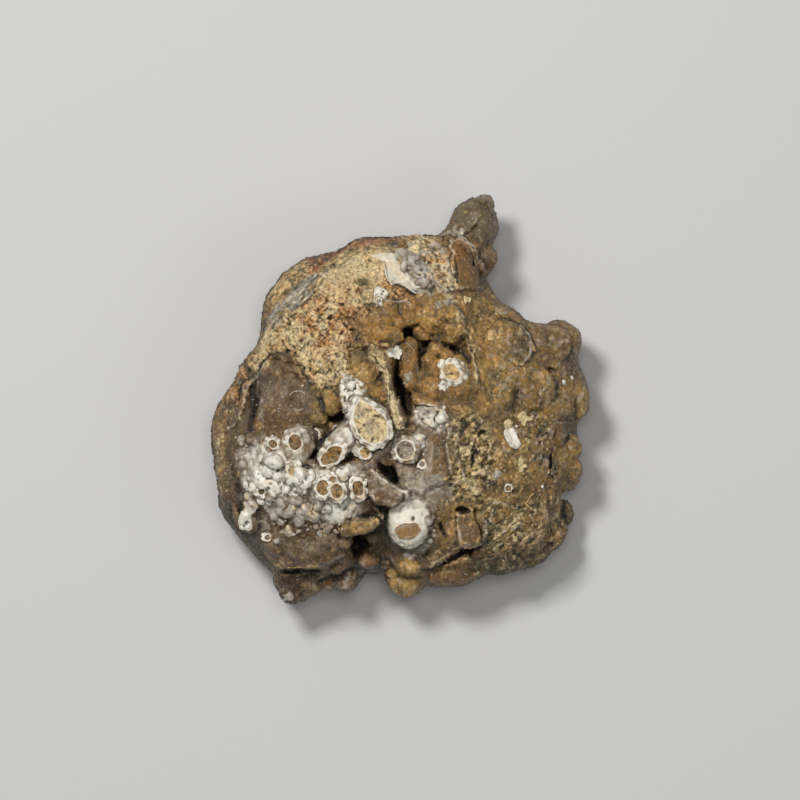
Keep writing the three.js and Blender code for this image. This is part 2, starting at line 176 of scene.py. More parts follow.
class Skin(Enum):
    """What the surface is made of, place by place: display colour, then grain, sugar, milk and streaks from 0 to 1."""

    GOLD = ((172, 139, 84), 0.1, 1.0, 0.0, 0.0)
    BROWN = ((148, 118, 72), 0.1, 0.9, 0.0, 0.0)
    WARM = ((150, 114, 62), 0.0, 0.9, 0.0, 0.0)
    DOME = ((120, 95, 66), 0.0, 0.8, 0.1, 0.0)
    BULGE = ((94, 74, 48), 0.0, 0.8, 0.1, 0.0)
    CHESTNUT = ((106, 82, 54), 0.0, 0.8, 0.1, 0.0)
    DEEP = ((108, 83, 50), 0.1, 0.8, 0.0, 0.0)
    SLAB = ((130, 92, 46), 0.1, 0.5, 0.0, 0.0)
    CORNER = ((54, 35, 13), 0.1, 0.5, 0.0, 0.0)
    KNOB = ((90, 77, 50), 0.1, 0.5, 0.1, 0.0)
    UMBER = ((68, 52, 32), 0.2, 0.3, 0.0, 0.0)
    RIM_BROWN = ((80, 63, 41), 0.1, 0.5, 0.1, 0.0)
    PURPLE = ((154, 141, 124), 0.0, 0.5, 0.4, 0.0)
    LILAC = ((184, 178, 168), 0.0, 0.3, 0.7, 0.0)
    MILK = ((250, 249, 240), 0.0, 0.1, 1.0, 0.0)
    POOL = ((252, 238, 204), 0.0, 0.0, 0.5, 0.0)
    POOL_WHITE = ((252, 250, 238), 0.0, 0.0, 0.5, 0.0)
    CREAM = ((255, 232, 184), 1.0, 0.0, 0.0, 0.0)
    TAN = ((218, 186, 134), 1.0, 0.0, 0.0, 0.0)
    OCHRE = ((184, 136, 82), 1.0, 0.1, 0.0, 0.0)
    RUST = ((150, 90, 56), 0.9, 0.1, 0.0, 0.2)
    FIBRE = ((154, 146, 128), 0.4, 0.0, 0.2, 1.0)
    OLIVE = ((116, 104, 70), 0.8, 0.2, 0.0, 0.3)
    MOSS = ((150, 132, 86), 1.0, 0.1, 0.0, 0.7)
    GREEN = ((126, 120, 88), 0.9, 0.2, 0.0, 0.6)
    SOOT = ((56, 47, 31), 0.7, 0.0, 0.0, 0.4)
    CORE = ((138, 107, 68), 0.9, 0.1, 0.0, 0.0)
    LARGE_CORE = ((226, 204, 162), 0.9, 0.1, 0.0, 0.0)
    WEDGE = ((232, 212, 178), 0.8, 0.0, 0.1, 0.0)

    @property
    def tint(self) -> Array:
        """Colour in linear light, warmer where the stone is sugary."""
        sugary = self.value[2] >= 0.5 and self.value[3] < 0.4
        return linear(self.value[0]) * ((0.98, 0.91, 0.62) if sugary else (0.97, 0.92, 0.84))

    @property
    def traits(self) -> Array:
        """Grain, sugar, milk and streaks."""
        return np.asarray(self.value[1:], float)


def outline_distance(x: Array, y: Array, outline: Sequence[Spot]) -> Array:
    """Measure how far places lie outside a closed outline.

    Args:
        x: Places' X in millimetres.
        y: Places' Y.
        outline: The outline's corners, as spots.

    Returns:
        Distances in millimetres, negative inside.
    """
    corners = np.array([place(s) for s in outline])
    best = np.full(x.shape, np.inf)
    inside = np.zeros(x.shape, bool)
    for (ax, ay), (bx, by) in zip(corners, np.roll(corners, -1, axis=0)):
        ex, ey = bx - ax, by - ay
        t = np.clip(((x - ax) * ex + (y - ay) * ey) / (ex * ex + ey * ey + 1e-12), 0.0, 1.0)
        best = np.minimum(best, (x - ax - t * ex) ** 2 + (y - ay - t * ey) ** 2)
        crosses = (ay > y) != (by > y)
        with np.errstate(divide="ignore", invalid="ignore"):
            inside ^= crosses & (x < (bx - ax) * (y - ay) / (by - ay + 1e-30) + ax)
    distance = np.sqrt(best)
    return np.where(inside, -distance, distance)


def path_distance(x: Array, y: Array, path: Sequence[Spot]) -> Array:
    """Measure how far places lie from an open path of spots, in millimetres."""
    corners = np.array([place(s) for s in path])
    best = np.full(x.shape, np.inf)
    for (ax, ay), (bx, by) in zip(corners[:-1], corners[1:]):
        ex, ey = bx - ax, by - ay
        t = np.clip(((x - ax) * ex + (y - ay) * ey) / (ex * ex + ey * ey + 1e-12), 0.0, 1.0)
        best = np.minimum(best, (x - ax - t * ex) ** 2 + (y - ay - t * ey) ** 2)
    return np.sqrt(best)


def oval_share(x: Array, y: Array, at: Spot, size: Sequence[float], turn: float) -> Array:
    """Measure how far out of an oval places lie: 0 in its middle, 1 on its edge.

    Args:
        x: Places' X in millimetres.
        y: Places' Y.
        at: The oval's middle, a spot.
        size: Its two radii in millimetres.
        turn: How far it is turned anticlockwise, in degrees.

    Returns:
        The shares.
    """
    cx, cy = place(at)
    c, s = math.cos(math.radians(turn)), math.sin(math.radians(turn))
    u = ((x - cx) * c + (y - cy) * s) / size[0]
    v = (-(x - cx) * s + (y - cy) * c) / size[1]
    return np.hypot(u, v)


@dataclass(frozen=True)
class Zone:
    """A patch of one skin: an outline, a path with a width, or an oval with two radii."""

    name: str
    skin: Skin
    shape: tuple
    soft: float = 1.0
    cover: float = 1.0
    size: float = 2.0
    strength: float = 1.0
    warp: float = 1.0
    over: float = 0.0

    def extent(self) -> tuple[Array, Array]:
        """Give the patch's lowest and highest X and Y, with room for its soft and wandering edge."""
        kind, *rest = self.shape
        if kind == "oval":
            corners = np.array([place(rest[0])])
            room = max(rest[1])
        else:
            corners = np.array([place(spot) for spot in (rest if kind == "area" else rest[1:])])
            room = 0.0 if kind == "area" else rest[0]
        room += self.soft + 3.0 * self.warp
        return corners.min(axis=0) - room, corners.max(axis=0) + room

    def mask(self, x: Array, y: Array, patch: Array) -> Array:
        """Work out how much of this skin each place has.

        Args:
            x: Places' X in millimetres.
            y: Places' Y.
            patch: A noise for patchy skins.

        Returns:
            Shares from 0 to 1.
        """
        kind, *rest = self.shape
        if kind == "area":
            distance = outline_distance(x, y, rest)
        elif kind == "path":
            distance = path_distance(x, y, rest[1:]) - rest[0]
        else:
            at, radii, turn = rest
            distance = (oval_share(x, y, at, radii, turn) - 1.0) * min(radii)
        mask = smooth(self.soft, -self.soft, distance)
        if self.cover < 1.0:
            edge = 0.36 + 0.3 * (1.0 - self.cover)
            mask = mask * smooth(edge - 0.06, edge + 0.06, patch)
        return mask * self.strength


def area(*outline: Spot) -> tuple:
    """Make an outline shape."""
    return ("area", *outline)


def path(width: float, *spots: Spot) -> tuple:
    """Make a path shape that is width wide to each side, in millimetres."""
    return ("path", width, *spots)


def oval(at: Spot, radii: Spot, turn: float = 0.0) -> tuple:
    """Make an oval shape."""
    return ("oval", at, radii, turn)


ZONES = (
    Zone("left flank", Skin.RIM_BROWN, area((200, 330), (262, 340), (262, 400), (246, 440), (250, 520), (262, 560),
        (240, 580), (190, 520)), 2.0),
    Zone("lower left browns", Skin.BULGE, area((236, 420), (300, 440), (400, 440), (450, 470), (440, 560), (440, 620),
        (300, 620), (236, 560), (214, 480)), 3.0),
    Zone("right sheet", Skin.BROWN, area((452, 286), (500, 270), (534, 310), (620, 320), (620, 520), (500, 420),
        (470, 412), (474, 350)), 2.5),
    Zone("gold on the sheet", Skin.GOLD, area((468, 320), (500, 330), (540, 350), (560, 392), (540, 420), (500, 412),
        (478, 400)), 4.0, 0.7, 6.0),
    Zone("darker drift on the sheet", Skin.DEEP, area((530, 380), (600, 370), (600, 480), (540, 440)), 4.0, 0.5, 5.0,
        0.3),
    Zone("right knob", Skin.DOME, area((528, 324), (600, 310), (600, 372), (540, 368)), 1.5, 1.0, 2.0, 0.8),
    Zone("lower right smooth", Skin.BROWN, area((496, 470), (560, 470), (600, 490), (580, 530), (500, 512)), 2.0),
    Zone("lower slope", Skin.DEEP, area((424, 556), (462, 546), (500, 556), (500, 610), (430, 610)), 1.2),
    Zone("left dome", Skin.CHESTNUT, oval((286, 396), (7.0, 10.6), 6), 0.8),
    Zone("left dome's frost", Skin.PURPLE, oval((286, 388), (6.0, 8.0), 6), 2.0, 0.4, 3.0, 0.35),
    Zone("dome by the ridge", Skin.GOLD, oval((364, 384), (5.4, 7.6), 24), 1.0),
    Zone("warm side of the dome", Skin.WARM, oval((372, 392), (3.6, 6.0), 24), 1.5, 0.7, 3.0),
    Zone("pocket", Skin.WARM, area((374, 302), (470, 300), (480, 400), (460, 412), (392, 412), (382, 350)), 1.5),
    Zone("pocket's roof", Skin.GOLD, area((412, 304), (462, 302), (468, 338), (430, 346), (414, 330)), 2.0, 0.8, 3.0,
        0.8),
    Zone("pocket lump's shade", Skin.DEEP, area((410, 364), (440, 374), (474, 380), (472, 408), (412, 408)), 2.0, 0.8,
        4.0, 0.9),
    Zone("scalloped plate", Skin.DEEP, area((490, 318), (516, 312), (530, 342), (524, 360), (500, 350)), 1.5, 0.7, 3.0,
        0.8),
    Zone("brown below the pocket", Skin.DOME, area((396, 406), (460, 408), (458, 470), (430, 480), (400, 470)), 2.0,
        1.0, 2.0, 0.8),
    Zone("olive dome", Skin.DOME, oval((437, 460), (5.4, 7.0), 0), 1.4),
    Zone("granular matrix", Skin.TAN, area((240, 352), (258, 310), (266, 280), (290, 250), (368, 226), (412, 222),
        (436, 234), (424, 246), (421, 294), (392, 300), (376, 308), (372, 330), (352, 350), (346, 382), (322, 392),
        (304, 372), (286, 348)), 1.0),
    Zone("ochre of the matrix", Skin.OCHRE, area((300, 300), (340, 280), (374, 290), (374, 330), (350, 352),
        (320, 352), (300, 330)), 2.0, 0.72, 3.2),
    Zone("cream matrix", Skin.CREAM, area((326, 262), (372, 244), (388, 254), (384, 284), (370, 300), (352, 304),
        (336, 300), (318, 292)), 1.4, 0.86, 2.6, over=0.5),
    Zone("cream below", Skin.CREAM, area((300, 312), (340, 300), (348, 330), (340, 352), (346, 372), (330, 388),
        (306, 372), (292, 346)), 1.6, 0.66, 2.8),
    Zone("cream at the left", Skin.CREAM, area((256, 336), (272, 322), (304, 326), (304, 346), (262, 356)), 1.0, 0.6,
        2.4),
    Zone("brown matrix", Skin.OCHRE, area((338, 282), (362, 284), (366, 300), (352, 326), (336, 322)), 1.4, 0.75, 2.4),
    Zone("red-brown of the matrix", Skin.RUST, area((340, 292), (362, 290), (356, 322), (338, 322)), 1.6, 0.42, 1.8,
        0.8),
    Zone("brown rubble", Skin.WARM, area((352, 322), (376, 314), (404, 338), (398, 352), (360, 346)), 1.4, 0.75, 2.6),
    Zone("rim's mottled shoulder", Skin.OLIVE, area((246, 340), (262, 296), (280, 262), (312, 248), (330, 262),
        (310, 284), (290, 306), (268, 330)), 1.2, 0.62, 1.8),
    Zone("cream flecks of the shoulder", Skin.TAN, area((256, 330), (270, 286), (300, 252), (330, 250), (322, 270),
        (284, 300), (266, 330)), 1.2, 0.5, 1.3),
    Zone("rust at the shoulder", Skin.RUST, oval((318, 262), (4.4, 2.4), 38), 1.0, 0.8, 1.6),
    Zone("fibrous streaks", Skin.FIBRE, area((262, 332), (274, 308), (292, 288), (318, 268), (330, 266), (326, 278),
        (304, 298), (284, 320), (268, 336)), 0.5, 0.86, 2.0),
    Zone("grey-blue bundle", Skin.LILAC, path(0.9, (276, 316), (292, 300), (308, 286)), 0.7, 0.5, 1.2, 0.8),
    Zone("fibres' dark side", Skin.UMBER, path(0.5, (292, 312), (308, 296), (326, 280)), 0.5, 0.6, 1.2),
    Zone("grey-olive spots", Skin.OLIVE, oval((364, 282), (1.6, 1.3), 0), 0.4, warp=0.4),
    Zone("grey-olive spot, small", Skin.UMBER, oval((357, 283), (0.8, 0.8), 0), 0.3, warp=0.4),
    Zone("rusty rim", Skin.RUST, area((318, 252), (350, 240), (372, 228), (404, 226), (404, 240), (372, 246),
        (352, 252), (326, 266)), 0.7, 0.85, 2.4),
    Zone("grey seam under the rim", Skin.OLIVE, path(0.9, (322, 268), (340, 258), (356, 250), (372, 246)), 0.6, 0.7),
    Zone("top rim cream", Skin.CREAM, area((400, 228), (436, 230), (432, 246), (404, 244)), 0.8, 0.55, 1.6),
    Zone("brown chips by the rim", Skin.WARM, area((372, 242), (400, 240), (410, 250), (396, 254), (378, 252)), 0.6,
        0.6, 1.6),
    Zone("drusy grey", Skin.LILAC, area((384, 250), (402, 244), (436, 240), (446, 252), (436, 270), (430, 296),
        (412, 292), (396, 270)), 1.0, 0.85),
    Zone("drusy shade", Skin.PURPLE, area((398, 254), (420, 262), (430, 290), (414, 290), (400, 270)), 1.0, 0.6, 1.6),
    Zone("ochre under the pool", Skin.OCHRE, area((374, 282), (396, 284), (420, 294), (412, 302), (386, 302),
        (376, 294)), 0.6, 0.85, 1.8),
    Zone("grey pool", Skin.POOL_WHITE, area((370, 256), (383, 252), (393, 254), (399, 263), (411, 277), (420, 286),
        (420, 293), (412, 292), (404, 286), (397, 284), (392, 286), (387, 277), (385, 262)), 0.25, warp=0.3),
    Zone("pool's cream", Skin.POOL, area((388, 256), (398, 264), (406, 280), (398, 280), (390, 268)), 0.8, 1.0, 2.0,
        0.8, 0.4),
    Zone("pool's lilac side", Skin.LILAC, area((392, 256), (400, 262), (414, 276), (422, 286), (412, 282), (400, 270))
        , 0.6, 1.0, 2.0, 0.75, 0.4),
    Zone("tan wedge", Skin.WEDGE, area((422, 254), (434, 248), (446, 254), (452, 270), (457, 288), (448, 293),
        (436, 284), (428, 270)), 0.5, warp=0.6),
    Zone("brown specks of the wedge", Skin.OCHRE, area((424, 256), (446, 256), (454, 286), (436, 284)), 0.8, 0.4, 1.2),
    Zone("cream lump by the rim", Skin.CREAM, oval((424, 243), (1.4, 1.7), 10), 0.4, warp=0.5),
    Zone("orange slab", Skin.SLAB, area((450, 240), (462, 236), (478, 252), (488, 276), (486, 294), (458, 294),
        (452, 264)), 0.5),
    Zone("slab's dark side", Skin.UMBER, area((468, 244), (478, 254), (488, 280), (480, 290), (472, 264)), 0.8, 0.7,
        2.0, 0.8),
    Zone("slab's pale edge", Skin.LILAC, path(0.4, (456, 234), (466, 239), (476, 250), (480, 256)), 0.3, 0.8, 1.2),
    Zone("top knob", Skin.KNOB, area((440, 236), (450, 200), (470, 186), (500, 186), (512, 224), (490, 248), (466, 238)
        ), 0.8),
    Zone("top knob's grey", Skin.PURPLE, area((464, 190), (500, 190), (506, 222), (480, 240)), 2.0, 0.5, 3.0, 0.4),
    Zone("frost at the knob's root", Skin.LILAC, area((442, 232), (462, 222), (470, 232), (456, 240)), 0.8, 0.6, 1.4),
    Zone("second top knob", Skin.DOME, oval((488, 257), (3.6, 3.2), 0), 0.8),
    Zone("frost below the slab", Skin.LILAC, area((428, 294), (452, 292), (466, 300), (450, 308), (430, 306)), 1.0,
        0.55, 1.6, 0.8),
    Zone("ridge line of the sheet", Skin.CREAM, path(0.4, (444, 292), (456, 306), (464, 326), (470, 344), (474, 360),
        (478, 386)), 0.4, 0.62, 1.2),
    Zone("right of the pocket, tan", Skin.TAN, path(1.0, (458, 300), (468, 326), (474, 350)), 0.8, 0.4, 1.4),
    Zone("sheet's top edge", Skin.TAN, path(0.5, (484, 284), (496, 297), (508, 305), (528, 324)), 0.5, 0.6, 1.6),
    # painted shade: a deep brown patch in the hollow by the right knob
    Zone("dark hollow of the sheet", Skin.DEEP, area((514, 322), (530, 326), (534, 344), (528, 352)), 1.0, 1.0, 2.0,
        0.8),
    Zone("right knob's pale rim", Skin.LILAC, path(0.8, (568, 320), (579, 326), (584, 338), (583, 346)), 0.6, 0.8, 1.6)
        ,
    Zone("mossy flank", Skin.MOSS, area((438, 408), (470, 414), (492, 424), (500, 452), (500, 500), (480, 512),
        (452, 500), (446, 480), (456, 452), (450, 430)), 1.4, 0.86, 3.0),
    Zone("mossy flank's dark", Skin.SOOT, area((450, 416), (492, 422), (498, 500), (460, 502), (456, 440)), 1.5, 0.42,
        1.6),
    Zone("mossy flank's straw", Skin.CREAM, area((448, 420), (480, 416), (498, 450), (496, 500), (456, 496)), 1.5,
        0.32, 1.2, 0.65),
    Zone("tan below the right rim", Skin.TAN, area((496, 420), (524, 430), (530, 470), (508, 482), (496, 460)), 1.5,
        0.45, 1.8, 0.8),
    Zone("mossy lower right", Skin.MOSS, area((470, 506), (520, 486), (560, 500), (584, 530), (580, 560), (530, 576),
        (490, 556), (470, 530)), 2.0, 0.8, 3.0),
    Zone("greenish lower right", Skin.GREEN, area((470, 540), (500, 526), (540, 540), (560, 570), (500, 600),
        (470, 590)), 2.0, 0.7, 3.4),
    Zone("lower right browns", Skin.WARM, area((490, 490), (570, 500), (572, 548), (520, 560)), 2.0, 0.42, 3.0, 0.8),
    Zone("lower right dark", Skin.SOOT, area((480, 500), (570, 500), (566, 566), (490, 580)), 2.0, 0.3, 1.5, 0.9),
    Zone("lower right straw", Skin.CREAM, area((480, 504), (566, 500), (568, 560), (500, 572)), 2.0, 0.26, 1.2, 0.8),
    Zone("yellow patch by the rim", Skin.MOSS, area((504, 426), (550, 420), (562, 460), (530, 484), (506, 466)), 1.6,
        0.45, 2.4),
    Zone("dark by the rim", Skin.SOOT, area((530, 408), (556, 440), (556, 480), (542, 474)), 1.0, 0.4, 1.6),
    Zone("orange patch", Skin.SLAB, oval((557, 434), (2.4, 3.2), -10), 0.5),
    Zone("left rim crust", Skin.TAN, area((200, 420), (222, 386), (240, 372), (252, 380), (240, 412), (226, 438),
        (220, 520), (246, 552), (236, 566), (206, 520), (200, 460)), 1.2, 0.45, 1.6, 0.5),
    Zone("left rim's ochre", Skin.OCHRE, area((204, 420), (226, 380), (244, 370), (244, 400), (226, 430), (220, 480),
        (206, 470)), 1.2, 0.42, 2.0, 0.6),
    Zone("left flank above", Skin.OCHRE, area((236, 352), (268, 340), (268, 372), (246, 400), (222, 400)), 1.5, 0.55,
        2.0, 0.8),
    Zone("small cream nodules", Skin.CREAM, area((246, 356), (262, 348), (274, 356), (266, 370), (250, 372)), 0.8, 0.6,
        1.2),
    # painted shade: a dark umber strip down the groove left of the dome
    Zone("dark groove by the dome", Skin.UMBER, path(0.8, (262, 372), (256, 392), (254, 410), (250, 428)), 0.8),
    Zone("rim's pale line", Skin.CREAM, path(0.3, (240, 418), (224, 432), (216, 450), (217, 476)), 0.3, 0.75, 1.4),
    Zone("golden ribbed patch", Skin.OCHRE, oval((258, 452), (2.2, 3.0), 0), 0.8, 0.9, 2.0, 0.8),
    Zone("grey ovals", Skin.LILAC, oval((241, 458), (1.5, 2.4), -20), 0.6, 0.7, 1.2),
    Zone("left dome's pale edge", Skin.LILAC, path(0.35, (262, 370), (258, 392), (264, 420)), 0.4, 0.8, 1.6),
    Zone("cream ridge", Skin.CREAM, path(1.15, (372, 352), (380, 364), (387, 378), (391, 394), (394, 410), (400, 428))
        , 0.4, 1.0, 1.6, warp=0.6, over=0.6),
    Zone("ridge's brown side", Skin.OCHRE, path(0.4, (376, 372), (383, 386), (387, 404)), 0.5, 0.6, 1.4),
    Zone("ridge's head", Skin.TAN, area((366, 344), (392, 342), (402, 352), (392, 362), (376, 364)), 0.6, 0.85, 1.6,
        over=0.4),
    Zone("ridge's shadow side", Skin.UMBER, path(0.7, (396, 372), (398, 394), (401, 410)), 0.7, 1.0, 2.0, 0.8),
    Zone("white by the large core", Skin.MILK, area((342, 374), (360, 378), (364, 392), (356, 404), (356, 420),
        (362, 436), (350, 434), (344, 410)), 0.7, 0.9, 1.6),
    Zone("white lump", Skin.MILK, oval((432, 417), (4.2, 3.0), -10), 0.8, 0.85, 1.6, over=0.3),
    Zone("lilac under the stubs", Skin.PURPLE, area((334, 430), (424, 430), (440, 460), (448, 500), (420, 512),
        (372, 500), (346, 476)), 1.6, 0.8, 3.0),
    Zone("frost right of the lip", Skin.LILAC, area((400, 470), (440, 470), (452, 496), (436, 508), (404, 500)), 2.0,
        0.55, 2.2, 0.9),
    Zone("lilac field", Skin.LILAC, area((246, 440), (270, 436), (300, 462), (372, 466), (376, 500), (360, 520),
        (330, 528), (300, 540), (262, 530), (240, 500)), 1.6, 0.85, 2.6),
    Zone("brown among the buds", Skin.BULGE, area((246, 440), (300, 470), (340, 500), (330, 536), (270, 536),
        (240, 500)), 1.6, 0.34, 1.4, 0.8),
    Zone("white of the buds", Skin.MILK, area((246, 452), (274, 444), (300, 466), (312, 482), (296, 498), (262, 500),
        (246, 484)), 1.0, 0.75, 1.8, over=0.4),
    Zone("white apron", Skin.MILK, area((318, 498), (346, 494), (358, 504), (354, 522), (330, 522)), 0.8, 0.85, 1.6,
        over=0.7),
    Zone("white round the twins", Skin.MILK, area((310, 474), (350, 466), (368, 474), (370, 502), (316, 504)), 1.0,
        0.75, 1.8),
    Zone("lip", Skin.CHESTNUT, area((360, 468), (374, 472), (384, 482), (395, 488), (405, 493), (398, 508), (382, 514),
        (362, 506)), 1.2, 0.9, 2.4),
    Zone("lip's lilac", Skin.PURPLE, area((362, 470), (376, 476), (404, 494), (396, 508), (368, 500)), 1.2, 0.55, 1.8),
    Zone("lip edge", Skin.MILK, path(0.22, (372, 470), (384, 481), (395, 487), (406, 492)), 0.2, 0.8, 1.2, 1.0, 0.25,
        0.6),
    Zone("lower plate", Skin.GOLD, area((346, 514), (366, 518), (382, 514), (378, 528), (366, 534), (346, 530)), 0.6),
    Zone("lower plate's tip", Skin.CREAM, area((370, 514), (383, 513), (380, 522), (370, 528)), 0.5, 0.8, 1.2),
    Zone("button's ground", Skin.LILAC, oval((410, 524), (6.4, 7.6), 0), 1.4, 0.8, 1.8),
    Zone("button", Skin.POOL_WHITE, area((394, 504), (404, 500), (416, 500), (424, 504), (428, 514), (427, 528),
        (424, 538), (414, 546), (402, 546), (393, 538), (388, 526), (390, 512)), 0.6, 0.95, 1.4, warp=0.5, over=0.45),
    Zone("button's white", Skin.POOL_WHITE, area((396, 506), (404, 502), (415, 502), (421, 506), (425, 516),
        (424, 522), (407, 521), (396, 526), (392, 528), (390, 516)), 0.7, 1.0, 1.4, 1.0, 0.5, 0.75),
    Zone("button's core line", Skin.UMBER, area((394, 530), (399, 525), (407, 523), (417, 523), (422, 530), (414, 538),
        (399, 539)), 0.2, warp=0.15),
    Zone("button's core", Skin.WARM, area((396, 530), (400, 527), (407, 525), (416, 525), (420, 530), (413, 536),
        (400, 537)), 0.2, warp=0.15, over=0.9),
    Zone("crescent", Skin.MILK, path(0.5, (406, 554), (410, 547), (420, 542)), 0.4, warp=0.4),
    Zone("frost below the button", Skin.LILAC, area((400, 544), (430, 540), (440, 552), (420, 560), (402, 560)), 1.0,
        0.4, 1.4),
    Zone("bulge", Skin.BULGE, area((262, 530), (300, 520), (330, 522), (350, 530), (346, 556), (300, 568), (264, 560)),
        1.6),
    Zone("frost on the bulge", Skin.PURPLE, area((264, 530), (330, 520), (346, 548), (280, 562)), 2.0, 0.42, 2.0, 0.45)
        ,
    Zone("ledge line", Skin.TAN, path(0.3, (263, 551), (268, 562), (276, 568), (300, 567), (318, 566)), 0.4, 0.7, 1.4),
    Zone("slope's ledge line", Skin.CREAM, path(0.35, (432, 566), (446, 558), (460, 548)), 0.3, 0.8, 1.4),
    Zone("ledge's tan mat", Skin.TAN, area((430, 552), (462, 540), (484, 552), (466, 560), (440, 566)), 0.8, 0.45, 1.4,
        0.8),
    Zone("lower corner", Skin.CORNER, area((276, 582), (300, 572), (308, 590), (292, 612), (280, 604)), 0.8),
    Zone("orange of the corner", Skin.SLAB, path(1.2, (304, 590), (316, 588), (330, 582)), 1.0, 0.6, 2.0),
    Zone("ring lump", Skin.SLAB, oval((368, 560), (2.0, 1.3), 0), 0.4, warp=0.4),
    Zone("lower lobe", Skin.GOLD, oval((404, 580), (4.8, 5.0), 0), 1.0, 1.0, 2.6, over=0.25),
    Zone("lump of the lower right", Skin.DEEP, area((456, 512), (476, 508), (488, 524), (482, 544), (462, 548)), 0.8,
        0.8),
    Zone("lobes' frost", Skin.LILAC, area((300, 572), (356, 560), (420, 556), (430, 610), (330, 610)), 1.0, 0.24, 1.2,
        0.6),
    Zone("frost on the right", Skin.LILAC, area((480, 330), (580, 330), (596, 420), (560, 480), (500, 460)), 2.0, 0.1,
        1.0, 0.5),
)


@dataclass(frozen=True)
class Lump:
    """A rounded swelling: its middle, its radii, how far its top stands out or at what level, and its turn."""

    at: Spot
    size: tuple[float, float, float]
    proud: float
    turn: float = 0.0
    blend: float = 0.45
    level: float | None = None


